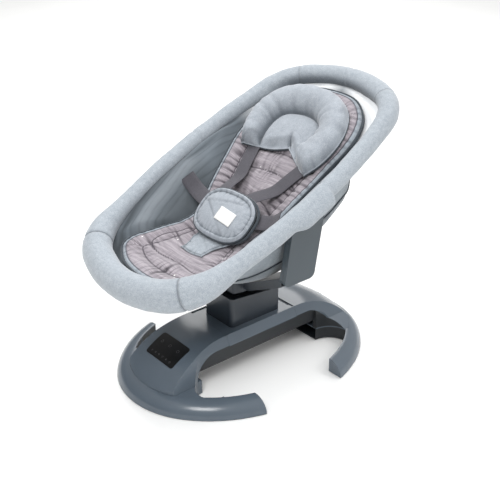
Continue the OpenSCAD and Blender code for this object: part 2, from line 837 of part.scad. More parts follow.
// Height of the cushion's top in the seat's frame: a bowl under the baby's legs that
// rises in a straight back to the head, with its sides turned up
low_v = -80;
low_w = -88;
function spine_w(v) = v < low_v
    ? low_w * (1 - (abs(v) / 345) ^ 3.4)
    : low_w + 0.237 * (v - low_v);
function rest_w(x, v) = let (m = spine_w(v)) m < 0 ? m * (1 - min(1, abs(x) / 195) ^ 2.6) : m;

// A dished or padded slab inside an outline: top and bottom are heights as functions of
// x, v and the fraction s of the way out to the edge
dish_levels = [0.22, 0.44, 0.62, 0.72, 0.8, 0.86, 0.91, 0.95, 0.98, 1];
module dish(outline, top, bottom, levels = dish_levels, middle = [0, 0]) {
    m = len(outline);
    n = len(levels);
    function spot(s, p) = [middle[0] + s * (p[0] - middle[0]), middle[1] + s * (p[1] - middle[1])];
    function raise(q, s, height) = [q[0], q[1], height(q[0], q[1], s)];
    points = [
        raise(middle, 0, top),
        for (s = levels, p = outline) raise(spot(s, p), s, top),
        raise(middle, 0, bottom),
        for (s = levels, p = outline) raise(spot(s, p), s, bottom),
    ];
    base = 1 + n * m;
    faces = [
        for (j = [0:m - 1]) let (k = (j + 1) % m) each [
            [0, 1 + k, 1 + j],
            [base, base + 1 + j, base + 1 + k],
            [1 + (n - 1) * m + j, 1 + (n - 1) * m + k, base + 1 + (n - 1) * m + k],
            [1 + (n - 1) * m + j, base + 1 + (n - 1) * m + k, base + 1 + (n - 1) * m + j]],
        for (i = [0:n - 2], j = [0:m - 1]) let (k = (j + 1) % m, a = 1 + i * m, b = 1 + (i + 1) * m) each [
            [a + j, a + k, b + k],
            [a + j, b + k, b + j],
            [base + a + j, base + b + k, base + a + k],
            [base + a + j, base + b + j, base + b + k]],
    ];
    polyhedron(points, faces);
}
rim_gap = 1;
arm_gap = 5;
function rim_inset(v) = roll_r(v) + rim_gap + arm_gap * smooth(110, 60, abs(v));
rim = [for (a = loop_angles(hoop_oval)) oval_point(hoop_oval, a, rim_inset(oval_point(hoop_oval, a)[1]))];
cushion_thickness = 22;
lining_thickness = 3;
tub_thickness = 3;
cushion_half = [168, 328];
cushion_v = -6;
soft_gap = 2.5;
// How far out a point lies on the cushion: 1 on its outline
function cushion_share(x, v) = ((abs(x) / cushion_half[0]) ^ 2.5
    + (abs(v - cushion_v) / cushion_half[1]) ^ 2.5) ^ 0.4;
function lining_w(x, v) = rest_w(x, v) - cushion_thickness - soft_gap
    + (cushion_thickness - 3) * smooth(1, 1.18, cushion_share(x, v));
module seat_lining() {
    color("#8f999f") seat_frame() dish(rim,
        function (x, v, s) lining_w(x, v),
        function (x, v, s) lining_w(x, v) - lining_thickness);
}
// The tub hangs deep under the seat and ends in a step behind the back
tub_rim_w = -14;
function tub_depth(v) = 170 * (1 - (max(0, -50 - v) / 290) ^ 1.7)
    - 20 * smooth(-80, 140, v) - 62 * smooth(140, 190, v);
function tub_w(v, s) = tub_rim_w - tub_depth(v) * (1 - max(0, (s - 0.62) / 0.38) ^ 1.5);
function tub_top(x, v, s) = min(tub_w(v, s) + tub_thickness, lining_w(x, v) - lining_thickness - 0.5);
module seat_tub() {
    color(fabric_grey) seat_frame() dish(rim,
        function (x, v, s) tub_top(x, v, s),
        function (x, v, s) tub_top(x, v, s) - tub_thickness);
}
// A rounded outline with half-width a and half-length b round [0, v]
function pad_outline(a, b, v, power, count) = [for (i = [0:count - 1]) let (t = 360 * i / count)
    [a * sgn(cos(t)) * abs(cos(t)) ^ (2 / power), v + b * sgn(sin(t)) * abs(sin(t)) ^ (2 / power)]];
pad_levels = [0.35, 0.65, 0.85, 0.95, 1];
module back_board() {
    drop = cushion_thickness + soft_gap + lining_thickness + 2.5;
    color("#d8d8d4") seat_frame() dish(pad_outline(105, 150, 80, 3, 28),
        function (x, v, s) rest_w(x, v) - drop,
        function (x, v, s) rest_w(x, v) - drop - 3,
        pad_levels, [0, 80]);
}
module seat_cushion() {
    color(print_mauve) seat_frame() dish(pad_outline(cushion_half[0], cushion_half[1], cushion_v, 2.5, 44),
        function (x, v, s) rest_w(x, v) - 10 * s ^ 6,
        function (x, v, s) rest_w(x, v) - cushion_thickness,
        [0.25, 0.5, 0.7, 0.85, 0.94, 1], [0, cushion_v]);
}
strap_thickness = 1.6;
pillow_v = 192;
pillow_lift = 3.2;
module head_pillow() {
    color(fabric_grey) seat_frame() dish(pad_outline(130, 104, pillow_v, 2.4, 32),
        function (x, v, s) rest_w(x, v) + pillow_lift + 6 + 32 * (1 - s ^ 3),
        function (x, v, s) rest_w(x, v) + pillow_lift,
        pad_levels, [0, pillow_v]);
}

// ---------------------------------------------------------------- harness
buckle_v = -76;
buckle_w = low_w + 9.2;
buckle_thickness = 12;
module buckle_frame() {
    seat_frame() translate([0, buckle_v, buckle_w]) children();
}
button_size = [22, 26];
button_height = 3.4;
button_drop = 2.6;
button_well_z = 4;
module buckle_body() {
    color("#3b3b40") buckle_frame() difference() {
        round_block(54, 58, buckle_thickness, 10);
        translate([0, 0, button_well_z])
            round_block(button_size[0] + 1, button_size[1] + 1, buckle_thickness, 4.5);
        both_sides() translate([18, 8, 4]) cube([20, 30, 5]);
    }
}
module buckle_button() {
    color("#8a2b2b") buckle_frame() translate([0, 0, buckle_thickness - button_drop])
        round_block(button_size[0], button_size[1], button_height, 4);
}
module buckle_spring() {
    color(steel) buckle_frame() translate([0, 0, button_well_z])
        windings(3, 0.4, buckle_thickness - button_drop - button_well_z - press_travel, 3);
}
module buckle_tongues() {
    color("#3b3b40") buckle_frame() both_sides() translate([18.5, 8.5, 4.5]) cube([19, 26, 4]);
}
// The padded cover over the buckle: its head edge stands up off the seat
pad_tilt = 20;
pad_middle = [9, -87, -38];
module buckle_pad() {
    color(fabric_grey) seat_frame() translate(pad_middle) rotate([pad_tilt, 0, 0]) dish(
        pad_outline(88, 58, 0, 2.7, 28),
        function (x, v, s) 5 + 9 * (1 - s ^ 4),
        function (x, v, s) 0,
        pad_levels);
}
// Webbing between two points [x, v, w] of the seat's frame
module strap(p, q, width) {
    seat_frame() hull() for (e = [p, q]) translate(e) rotate([0, 0, atan2(q[1] - p[1], q[0] - p[0])])
        cube([0.2, width, strap_thickness], center = true);
}
shoulder_top = [84, 84];
shoulder_end = [46, -26];
module shoulder_strap() {
    color(webbing_grey) strap(
        [shoulder_top[0], shoulder_top[1], rest_w(shoulder_top[0], shoulder_top[1]) + 5],
        [shoulder_end[0], shoulder_end[1], rest_w(shoulder_end[0], shoulder_end[1]) + 3.4], webbing_width);
}
module left_shoulder_strap() { shoulder_strap(); }
module right_shoulder_strap() { mirror([1, 0, 0]) shoulder_strap(); }
module waist_strap() {
    color(webbing_grey) strap([140, -48, rest_w(140, -48) + 5], [42, -62, buckle_w + 7], webbing_width);
}
module left_waist_strap() { waist_strap(); }
module right_waist_strap() { mirror([1, 0, 0]) waist_strap(); }
module crotch_strap() {
    color(fabric_grey) seat_frame() translate([0, 0, low_w + 17]) linear_extrude(6) polygon([
        [-34, -204], [34, -204], [24, -176], [20, -150], [20, -107],
        [-20, -107], [-20, -150], [-24, -176]]);
}

front_foot_cover();
rear_foot_cover();
front_foot_tray();
rear_foot_tray();
front_deck();
rear_deck();
bridge_cover();
bridge_beam();
control_panel();
panel_board();
main_board();
speaker();
dc_socket();
housing_shell();
housing_cap();
bearing_blocks();
front_bearing();
rear_bearing();
drive_coil();
rubber_feet();
base_screws();
swing_shaft();
swing_hub();
drive_magnet();
centering_springs();
yoke_frame();
yoke_cover();
left_arm_cover();
right_arm_cover();
left_arm_liner();
right_arm_liner();
hinge_pins();
recline_springs();
left_recline_button();
right_recline_button();
hoop_frame();
left_hinge_plate();
right_hinge_plate();
foot_roll();
head_roll();
left_roll();
right_roll();
seat_tub();
seat_lining();
back_board();
seat_cushion();
head_pillow();
left_shoulder_strap();
right_shoulder_strap();
left_waist_strap();
right_waist_strap();
crotch_strap();
buckle_body();
buckle_tongues();
buckle_button();
buckle_spring();
buckle_pad();
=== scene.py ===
"""The look of the baby swing: padded and sewn pieces, materials, floor, lights and camera."""

import math

import bpy
import numpy as np
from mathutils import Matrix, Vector


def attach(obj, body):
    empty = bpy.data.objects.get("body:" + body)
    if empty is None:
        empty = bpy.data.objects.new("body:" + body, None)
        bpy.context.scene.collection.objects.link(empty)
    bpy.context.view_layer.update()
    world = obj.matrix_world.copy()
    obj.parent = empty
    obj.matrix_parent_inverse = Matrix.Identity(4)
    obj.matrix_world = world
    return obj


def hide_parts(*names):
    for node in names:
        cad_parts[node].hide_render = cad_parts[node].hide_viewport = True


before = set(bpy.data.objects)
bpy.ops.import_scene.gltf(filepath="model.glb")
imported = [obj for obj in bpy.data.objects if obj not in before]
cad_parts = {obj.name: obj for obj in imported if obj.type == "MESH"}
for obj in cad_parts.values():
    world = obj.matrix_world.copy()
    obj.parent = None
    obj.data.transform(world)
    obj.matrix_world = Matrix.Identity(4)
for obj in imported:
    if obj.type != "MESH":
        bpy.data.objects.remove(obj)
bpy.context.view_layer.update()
scene = bpy.context.scene

# ---- the seat's own frame
# x to the baby's left, v along the hoop to the head, w out of the seat, in metres
SEAT_ORIGIN = (0.0, 0.004, 0.464)
SEAT_TILT = math.radians(25.6)


def to_row(x, v, w):
    """Points of the seat's frame as points of the row frame."""
    x, v, w = np.broadcast_arrays(x, v, w)
    c, s = math.cos(SEAT_TILT), math.sin(SEAT_TILT)
    return np.stack([x, SEAT_ORIGIN[1] + v * c - w * s, SEAT_ORIGIN[2] + v * s + w * c], -1)


def smooth(start, end, t):
    """0 up to start, 1 from end on, and an even S between them."""
    u = np.clip((t - start) / (end - start), 0, 1)
    return u * u * (3 - 2 * u)


def bump(t, centre, width):
    """1 at centre, falling off like a bell."""
    return np.exp(-(((t - centre) / width) ** 2))


LUMP_CELLS = 24


def lumps(points, size, seed):
    """Smooth random values from -1 to 1 with features of about that size."""
    table = np.random.default_rng(seed).uniform(-1, 1, (LUMP_CELLS,) * 3)
    q = np.asarray(points) / size
    low = np.floor(q).astype(int)
    f = q - low
    f = f * f * (3 - 2 * f)
    total = 0
    for step in np.ndindex(2, 2, 2):
        weight = np.prod(np.where(step, f, 1 - f), axis=-1)
        corner = (low + step) % LUMP_CELLS
        total = total + weight * table[corner[..., 0], corner[..., 1], corner[..., 2]]
    return total


def to_line(points, line):
    """Distance of each (x, v) point to a line of points, and how far along the line it lies."""
    points, line = np.asarray(points, float), np.asarray(line, float)
    best = np.full(points.shape[:-1], 1e9)
    along = np.zeros(points.shape[:-1])
    travelled = 0.0
    for a, b in zip(line[:-1], line[1:]):
        d = b - a
        length = math.hypot(*d)
        if length < 1e-9:
            continue
        t = np.clip(((points - a) @ d) / length**2, 0, 1)
        distance = np.linalg.norm(points - (a + t[..., None] * d), axis=-1)
        nearer = distance < best
        best = np.where(nearer, distance, best)
        along = np.where(nearer, travelled + t * length, along)
        travelled += length
    return best, along


# ---- shapes of the seat
# The hoop's centre line: side, corner and end arcs that meet in tangents
HOOP_HALF = (0.224, 0.372)
CORNER = (0.069, 0.227)
CORNER_R = 0.131


def arc_offset(half, toward):
    """How far past the middle the centre of a side or end arc lies."""
    inner = half - CORNER_R
    return (inner**2 - CORNER[0] ** 2 - CORNER[1] ** 2) / (2 * (toward - inner))


SIDE_OFFSET = arc_offset(HOOP_HALF[0], CORNER[0])
END_OFFSET = arc_offset(HOOP_HALF[1], CORNER[1])
SIDE_ANGLE = math.atan2(CORNER[1], CORNER[0] + SIDE_OFFSET)
END_ANGLE = math.atan2(CORNER[1] + END_OFFSET, CORNER[0])


def hoop(angle, inset=0.0):
    """(x, v) where the hoop's outward normal has this angle, moved inward by inset."""
    angle, inset = np.broadcast_arrays(angle, inset)
    fold = np.arcsin(np.abs(np.sin(angle)))
    side_r = HOOP_HALF[0] + SIDE_OFFSET - inset
    end_r = HOOP_HALF[1] + END_OFFSET - inset
    corner_r = CORNER_R - inset
    on_side, on_corner = fold < SIDE_ANGLE, fold < END_ANGLE
    c, s = np.cos(fold), np.sin(fold)
    x = np.where(on_side, side_r * c - SIDE_OFFSET, np.where(on_corner, CORNER[0] + corner_r * c, end_r * c))
    v = np.where(on_side, side_r * s, np.where(on_corner, CORNER[1] + corner_r * s, end_r * s - END_OFFSET))
    return np.where(np.cos(angle) < 0, -x, x), np.where(np.sin(angle) < 0, -v, v)


def even_angles(start, end, step):
    """Normal angles between two of them, at even distances along the hoop."""
    fine = np.radians(np.linspace(start, end, 1440))
    x, v = hoop(fine)
    travelled = np.concatenate([[0], np.cumsum(np.hypot(np.diff(x), np.diff(v)))])
    count = max(8, int(travelled[-1] / step))
    where = np.linspace(0, travelled[-1], count + 1)
    return np.interp(where, travelled, fine), where


def roll_radius(v):
    """Radius of the padded rolls: thicker at the foot end, a little thicker at the head."""
    return 0.021 + 0.013 * smooth(-0.190, -0.335, v) + 0.004 * smooth(0.190, 0.340, v)


# The lowest place of the cushion, where the leg part's curve meets the straight back
LOW_V, LOW_W = -0.080, -0.088
BACK_SLOPE = 0.237
LEG_REACH = 0.345
TROUGH_HALF = 0.195


def spine(v):
    """Height of the cushion's middle line."""
    legs = LOW_W * (1 - (np.abs(v) / LEG_REACH) ** 3.4)
    return np.where(v < LOW_V, legs, LOW_W + BACK_SLOPE * (v - LOW_V))


def rest(x, v):
    """Height of the cushion's top, with its sides turned up."""
    middle = spine(v)
    turned_up = np.minimum(1, np.abs(x) / TROUGH_HALF) ** 2.6
    return np.where(middle < 0, middle * (1 - turned_up), middle)


def full_turn(count):
    """That many even angles round a circle."""
    return np.linspace(0, 2 * math.pi, count, endpoint=False)


def oval_line(a, b, power):
    """A rounded outline with half-width a and half-length b."""
    t = full_turn(240)
    x = a * np.sign(np.cos(t)) * np.abs(np.cos(t)) ** (2 / power)
    y = b * np.sign(np.sin(t)) * np.abs(np.sin(t)) ** (2 / power)
    return np.stack([x, y], -1)


def evenly(line, count, closed=True):
    """The line cut into points at even distances."""
    line = np.asarray(line, float)
    if closed:
        line = np.concatenate([line, line[:1]])
    travelled = np.concatenate([[0], np.cumsum(np.linalg.norm(np.diff(line, axis=0), axis=1))])
    where = np.linspace(0, travelled[-1], count, endpoint=not closed)
    return np.stack([np.interp(where, travelled, line[:, i]) for i in range(line.shape[1])], -1)


CURVE_STEPS = 12


def curve(points):
    """A smooth closed line through the points; a point given twice makes a corner."""
    points = np.asarray(points, float)
    t = np.linspace(0, 1, CURVE_STEPS, endpoint=False)[:, None]
    line = []
    for i in range(len(points)):
        a, b, c, d = (points[(i + k) % len(points)] for k in (-1, 0, 1, 2))
        bend = 2 * a - 5 * b + 4 * c - d
        twist = 3 * b - a - 3 * c + d
        line.append(0.5 * (2 * b + (c - a) * t + bend * t**2 + twist * t**3))
    return np.concatenate(line)


def closed(line):
    return np.concatenate([line, line[:1]])


def raised(line, height, lift):
    """A line of (x, v) points, lifted that far over the height there."""
    x, v = line[:, 0], line[:, 1]
    return to_row(x, v, height(x, v) + lift)


def rings_out(outline, middle, first, count, power, edge_points):
    """(x, v) in rings from the middle to the outline, the distance to it and the place along it."""
    shares = np.concatenate([[0], np.linspace(first, 1, count) ** power])
    flat = middle + shares[:, None, None] * (outline - middle)
    return flat[..., 0], flat[..., 1], *to_line(flat, closed(evenly(outline, edge_points)))


# ---- building meshes
def build(name, points, faces, body, material, **values):
    """A smooth mesh that rides on a body; values are numbers per point for the material."""
    mesh = bpy.data.meshes.new(name)
    mesh.from_pydata(np.asarray(points, float).reshape(-1, 3).tolist(), [], faces)
    mesh.update()
    for key, value in values.items():
        layer = mesh.attributes.new(key, "FLOAT", "POINT")
        flat = np.broadcast_to(value, np.asarray(points).shape[:-1]).astype(np.float32).ravel()
        layer.data.foreach_set("value", flat)
    mesh.polygons.foreach_set("use_smooth", [True] * len(mesh.polygons))
    piece = bpy.data.objects.new(name, mesh)
    scene.collection.objects.link(piece)
    piece.data.materials.append(material)
    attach(piece, body)
    return piece


def net(rows, columns, wrap_rows=False, wrap_columns=False, flip=False):
    """Faces of a net of points with that many rows and columns."""
    faces = []
    for i in range(rows if wrap_rows else rows - 1):
        for j in range(columns if wrap_columns else columns - 1):
            k, l = (i + 1) % rows, (j + 1) % columns
            face = (i * columns + j, i * columns + l, k * columns + l, k * columns + j)
            faces.append(face[::-1] if flip else face)
    return faces


def tube(name, line, radius, body, material, sides):
    """A round cord along a closed line of points."""
    line = np.asarray(line, float)
    ahead = np.roll(line, -1, 0) - np.roll(line, 1, 0)
    ahead /= np.linalg.norm(ahead, axis=1)[:, None]
    across = np.cross(ahead, (0.02, 0.03, 1.0))
    across /= np.linalg.norm(across, axis=1)[:, None]
    up = np.cross(across, ahead)
    t = full_turn(sides)
    ring = np.cos(t)[None, :, None] * across[:, None] + np.sin(t)[None, :, None] * up[:, None]
    return build(name, line[:, None] + radius * ring, net(len(line), sides, True, True), body, material)


def slab(name, rings_top, rings_bottom, material, **values):
    """A closed form from rings of points: the top from its middle out, then the bottom back in.
    The first ring of each is the middle point repeated."""
    top, bottom = np.asarray(rings_top), np.asarray(rings_bottom)
    n = top.shape[1]
    middle_top, middle_bottom = top[0, 0], bottom[0, 0]
    rings = np.concatenate([top[1:], bottom[:0:-1]])
    points = np.concatenate([rings.reshape(-1, 3), middle_top[None], middle_bottom[None]])
    faces = net(len(rings), n, False, True, flip=True)
    first, last = len(rings) * n, len(rings) * n + 1
    start = (len(rings) - 1) * n
    faces += [(j, (j + 1) % n, first) for j in range(n)]
    faces += [(start + (j + 1) % n, start + j, last) for j in range(n)]
    given = {}
    for key, value in values.items():
        value = np.clip(np.broadcast_to(value, top.shape[:2]), 0, 1)
        below = np.zeros((len(bottom) - 1) * n)
        given[key] = np.concatenate([value[1:].ravel(), below, value[0, :1], [0]])
    return build(name, points, faces, "seat", material, **given)


# ---- materials
def linear(colour):
    """A hex colour as the linear values that shaders use."""
    parts = [int(colour[i:i + 2], 16) / 255 for i in (1, 3, 5)]
    return [p / 12.92 if p <= 0.04045 else ((p + 0.055) / 1.055) ** 2.4 for p in parts] + [1.0]


class Shader:
    """A material's nodes, with short ways to add and join them."""

    def __init__(self, name, roughness, **settings):
        self.material = bpy.data.materials.new(name)
        self.material.use_nodes = True
        self.tree = self.material.node_tree
        self.tree.nodes.clear()
        self.output = self.add("OutputMaterial")
        self.surface = self.add("BsdfPrincipled")
        self.surface.inputs["Roughness"].default_value = roughness
        for key, value in settings.items():
            self.surface.inputs[key.replace("_", " ")].default_value = value
        self.join(self.surface.outputs[0], self.output.inputs[0])
        self.place = self.add("TexCoord").outputs["Object"]

    def add(self, kind, **inputs):
        node = self.tree.nodes.new("ShaderNode" + kind)
        for key, value in inputs.items():
            self.give(node.inputs[key.replace("_", " ")], value)
        return node

    def join(self, source, target):
        self.tree.links.new(source, target)

    def give(self, target, value):
        if isinstance(value, bpy.types.NodeSocket):
            self.join(value, target)
        else:
            target.default_value = linear(value) if isinstance(value, str) else value

    def stretched(self, scale, rotation=(0, 0, 0), source=None):
        node = self.add("Mapping", Vector=source or self.place, Rotation=rotation, Scale=scale)
        return node.outputs[0]

    def along_seat(self):
        """Places turned level with the seat."""
        return self.stretched((1, 1, 1), (-SEAT_TILT, 0, 0))

    def noise(self, scale, detail=2.0, place=None, roughness=0.5):
        place = place or self.place
        node = self.add("TexNoise", Vector=place, Scale=scale, Detail=detail, Roughness=roughness)
        return node.outputs["Fac"]

    def levels(self, value, low, high, to_low=0.0, to_high=1.0):
        node = self.add("MapRange", Value=value)
        for key, number in (("From Min", low), ("From Max", high), ("To Min", to_low), ("To Max", to_high)):
            node.inputs[key].default_value = number
        return node.outputs[0]

    def mix(self, amount, first, second, kind="MIX"):
        node = self.tree.nodes.new("ShaderNodeMixRGB")
        node.blend_type = kind
        self.give(node.inputs["Fac"], amount)
        self.give(node.inputs["Color1"], first)
        self.give(node.inputs["Color2"], second)
        return node.outputs[0]

    def maths(self, operation, first, second=0.0):
        node = self.tree.nodes.new("ShaderNodeMath")
        node.operation = operation
        self.give(node.inputs[0], first)
        self.give(node.inputs[1], second)
        return node.outputs[0]

    def waves(self, value, rate):
        return self.maths("SINE", self.maths("MULTIPLY", value, rate))

    def shaded(self, colour, shadow, strength):
        """The colour, multiplied toward the shadow where the piece's painted shade value is high: shade
        painted into folds, seams and hollows.
        """
        darker = self.mix(strength, colour, shadow, "MULTIPLY")
        return self.mix(self.attribute("crease"), colour, darker)

    def attribute(self, name):
        node = self.tree.nodes.new("ShaderNodeAttribute")
        node.attribute_name = name
        return node.outputs["Fac"]

    def colour(self, value):
        self.give(self.surface.inputs["Base Color"], value)

    def relief(self, height, strength, distance, normal=None):
        node = self.add("Bump", Height=height, Strength=strength, Distance=distance)
        if normal is not None:
            self.join(normal, node.inputs["Normal"])
        self.join(node.outputs[0], self.surface.inputs["Normal"])
        return node.outputs[0]


def knit_fabric(name, light, dark, thread="#5d646b", grain=900.0):
    """Soft heather knit: two yarn shades, fine ribs, a little fuzz, darker sewn lines and painted shade in
    its folds and hollows.
    """
    shader = Shader(name, 0.92, Sheen_Weight=0.35, Sheen_Roughness=0.45, Specular_IOR_Level=0.2)
    yarn = shader.levels(shader.noise(grain, 3.0), 0.36, 0.64)
    patches = shader.levels(shader.noise(110.0, 3.0), 0.3, 0.7, 0.0, 0.55)
    mixed = shader.mix(yarn, dark, light)
    mixed = shader.mix(patches, mixed, dark)
    # Painted shade: the knit darkened toward the thread colour where the painted shade value is high
    wear_and_shade = shader.shaded(mixed, thread, 0.75)
    shader.colour(shader.mix(shader.attribute("seam"), wear_and_shade, thread))
    fine = shader.noise(grain * 1.7, 2.0)
    soft = shader.noise(160.0, 3.0)
    first = shader.relief(soft, 0.25, 0.0015)
    shader.relief(fine, 0.45, 0.0005, first)
    return shader.material


def printed_fabric(name):
    """Mauve-grey print of fine streaks across the cushion with small pale specks, and painted shade in the
    quilting's hollows.
    """
    shader = Shader(name, 0.85, Sheen_Weight=0.25, Sheen_Roughness=0.5, Specular_IOR_Level=0.25)
    flat = shader.along_seat()
    drift = shader.add("TexNoise", Vector=flat, Scale=11.0, Detail=1.0)
    wavy = shader.mix(0.02, flat, drift.outputs["Color"], "ADD")
    streaks = shader.noise(1.0, 3.0, shader.stretched((22.0, 900.0, 90.0), source=wavy), 0.6)
    broad = shader.noise(1.0, 2.0, shader.stretched((9.0, 170.0, 30.0), source=wavy))
    base = shader.mix(shader.levels(broad, 0.35, 0.65), "#8a848a", "#a39ca2")
    base = shader.mix(shader.levels(streaks, 0.52, 0.68, 0.0, 0.75), base, "#777078")
    base = shader.mix(shader.levels(streaks, 0.30, 0.46, 0.5, 0.0), base, "#c6c0c5")
    cells = shader.add("TexVoronoi", Vector=flat, Scale=27.0, Randomness=1.0)
    speck = shader.levels(cells.outputs["Distance"], 0.040, 0.075, 1.0, 0.0)
    base = shader.mix(shader.maths("MULTIPLY", speck, 0.95), base, "#faf9f7")
    yarn = shader.levels(shader.noise(900.0, 3.0), 0.36, 0.64)
    rim = shader.mix(yarn, "#878f97", "#a2aab2")
    base = shader.mix(shader.attribute("rim"), base, rim)
    # Painted shade in the hollows of the quilting's puckers and along its seams
    base = shader.shaded(base, "#56505a", 0.9)
    shader.colour(shader.mix(shader.attribute("seam"), base, "#3e3a42"))
    first = shader.relief(shader.noise(140.0, 3.0), 0.3, 0.0016)
    shader.relief(shader.noise(1500.0, 2.0), 0.35, 0.0004, first)
    return shader.material


def mesh_fabric(name, light, dark):
    """Pale open mesh with a regular grid of tiny holes, and painted shade in its folds."""
    shader = Shader(name, 0.8, Sheen_Weight=0.2, Specular_IOR_Level=0.25)
    cells = shader.add("TexVoronoi", Vector=shader.along_seat(), Scale=520.0, Randomness=0.12)
    holes = shader.levels(cells.outputs["Distance"], 0.12, 0.34)
    base = shader.mix(holes, dark, light)
    base = shader.mix(shader.attribute("shade"), base, "#6a7279")
    # Painted shade in the lining's folds, next to the rolls and round the cushion's edge
    base = shader.mix(shader.attribute("crease"), base, "#4c5257")
    shader.colour(shader.mix(shader.attribute("seam"), base, "#3c4145"))
    shader.relief(holes, 0.4, 0.0006)
    return shader.material


def webbing_fabric(name, light, dark):
    """Woven strap: ribs and cords, from the strap's own along and across values."""
    shader = Shader(name, 0.7, Sheen_Weight=0.15, Specular_IOR_Level=0.3)
    ribs = shader.waves(shader.attribute("along"), 3200.0)
    cords = shader.waves(shader.attribute("across"), 2600.0)
    weave = shader.maths("MULTIPLY", ribs, cords)
    tone = shader.levels(weave, -0.8, 0.8)
    base = shader.mix(tone, dark, light)
    shader.colour(shader.mix(shader.levels(shader.noise(220.0), 0.4, 0.7, 0.0, 0.3), base, dark))
    shader.relief(tone, 0.35, 0.0005)
    return shader.material


EDGE_HIGHLIGHT = 0.3


def moulded_plastic(name, colour, roughness, grain=1400.0, depth=0.00008, edge=0.0012):
    """Moulded plastic: fine spark texture, faint flow marks, soft edges that catch the light, with a
    highlight painted paler on them.
    """
    shader = Shader(name, roughness, Specular_IOR_Level=0.5)
    base = linear(colour)
    pale = [min(1.0, c * 1.5 + 0.02) for c in base[:3]] + [1.0]
    flow = shader.levels(shader.noise(9.0, 3.0), 0.3, 0.7, 0.0, 0.16)
    body = shader.mix(flow, base, pale)
    rounded = shader.add("Bevel", Radius=edge)
    rounded.samples = 4
    facing = shader.add("NewGeometry")
    turn = shader.tree.nodes.new("ShaderNodeVectorMath")
    turn.operation = "DOT_PRODUCT"
    shader.join(rounded.outputs[0], turn.inputs[0])
    shader.join(facing.outputs["Normal"], turn.inputs[1])
    # Painted highlight: the colour turns paler on rounded edges, where the bevelled normal bends away
    at_edge = shader.levels(turn.outputs["Value"], 0.99, 0.8, 0.0, EDGE_HIGHLIGHT)
    shader.colour(shader.mix(at_edge, body, pale))
    shader.relief(shader.noise(grain, 3.0), 0.2, depth, rounded.outputs[0])
    return shader.material


def metal(name, colour, roughness, direction=(1, 40, 40)):
    """Plain steel or cast metal with drawn marks and a few duller patches."""
    shader = Shader(name, roughness, Metallic=1.0)
    marks = shader.noise(30.0, 4.0, shader.stretched(direction))
    shader.colour(shader.mix(shader.levels(marks, 0.35, 0.7), colour, "#7d8286"))
    dull = shader.levels(marks, 0.3, 0.7, roughness - 0.08, roughness + 0.15)
    shader.join(dull, shader.surface.inputs["Roughness"])
    shader.relief(marks, 0.15, 0.0002)
    return shader.material


def panel_gloss(name):
    """Black touch panel: clear gloss over black, with faint smears."""
    shader = Shader(name, 0.3, Specular_IOR_Level=0.25)
    smear = shader.noise(45.0, 4.0)
    shader.colour(shader.mix(shader.levels(smear, 0.4, 0.8), "#050506", "#101013"))
    shader.join(shader.levels(smear, 0.3, 0.75, 0.28, 0.42), shader.surface.inputs["Roughness"])
    shader.relief(smear, 0.05, 0.0003)
    return shader.material


def circuit_board(name):
    """Green board with paler tracks."""
    shader = Shader(name, 0.45)
    tracks = shader.add("TexBrick", Vector=shader.place, Scale=160.0)
    shader.colour(shader.mix(tracks.outputs["Fac"], "#1d4a30", "#3f7a50"))
    shader.relief(tracks.outputs["Fac"], 0.3, 0.0002)
    return shader.material


def winding(name):
    """Enamelled copper wire wound in fine turns."""
    shader = Shader(name, 0.35, Metallic=1.0)
    height = shader.add("SeparateXYZ", Vector=shader.place).outputs[2]
    turns = shader.waves(height, 9000.0)
    shader.colour(shader.mix(shader.levels(turns, -1, 1), "#7a4a24", "#c98450"))
    shader.relief(turns, 0.5, 0.0003)
    return shader.material


KNIT = knit_fabric("heather_knit", "#b7bdc3", "#8c949c")
KNIT_PILLOW = knit_fabric("pillow_knit", "#b5bac1", "#8f969e")
# Darker copy of the heather knit for the tub's side panel: painted shade
KNIT_SHADED = knit_fabric("panel_knit_shaded", "#9ca4aa", "#79828a")
PRINT = printed_fabric("streaked_print")
MESH = mesh_fabric("lining_mesh", "#f0f2f4", "#c3c9cd")
WEBBING = webbing_fabric("woven_webbing", "#5c5a61", "#3d3c42")
PIPING = knit_fabric("dark_piping", "#50575e", "#363c42")
LABEL = knit_fabric("woven_label", "#f4f4f2", "#e4e4e2", "#c9c9c9", 1500.0)
SLATE = moulded_plastic("slate_plastic", "#535d67", 0.22)
SLATE_ARM = moulded_plastic("arm_plastic", "#39434a", 0.42)
HOUSING = moulded_plastic("housing_plastic", "#293038", 0.24)
BLACK = moulded_plastic("chassis_plastic", "#171c20", 0.5, 900.0, 0.00015)
DARK = moulded_plastic("yoke_plastic", "#2f353c", 0.45)
BUCKLE = moulded_plastic("buckle_plastic", "#3a3a3f", 0.4, 1200.0, 0.0001, 0.0006)
RED = moulded_plastic("release_plastic", "#8a2f2f", 0.35, 1200.0, 0.0001, 0.0005)
WHITE_BOARD = moulded_plastic("board_plastic", "#d6d6d2", 0.55)
RUBBER = moulded_plastic("foot_rubber", "#1a1a1a", 0.85, 600.0, 0.0003, 0.0006)
STEEL = metal("plain_steel", "#b6babd", 0.32)
CAST = metal("cast_metal", "#c4c7c9", 0.45, (20, 20, 20))
PANEL = panel_gloss("touch_panel")
BOARD = circuit_board("circuit_board")
COPPER = winding("copper_wire")


def piping(name, line, radius, material=PIPING):
    """A cord of piping sewn round a piece of the seat."""
    cord = tube(name, line, radius, "seat", material, 8)


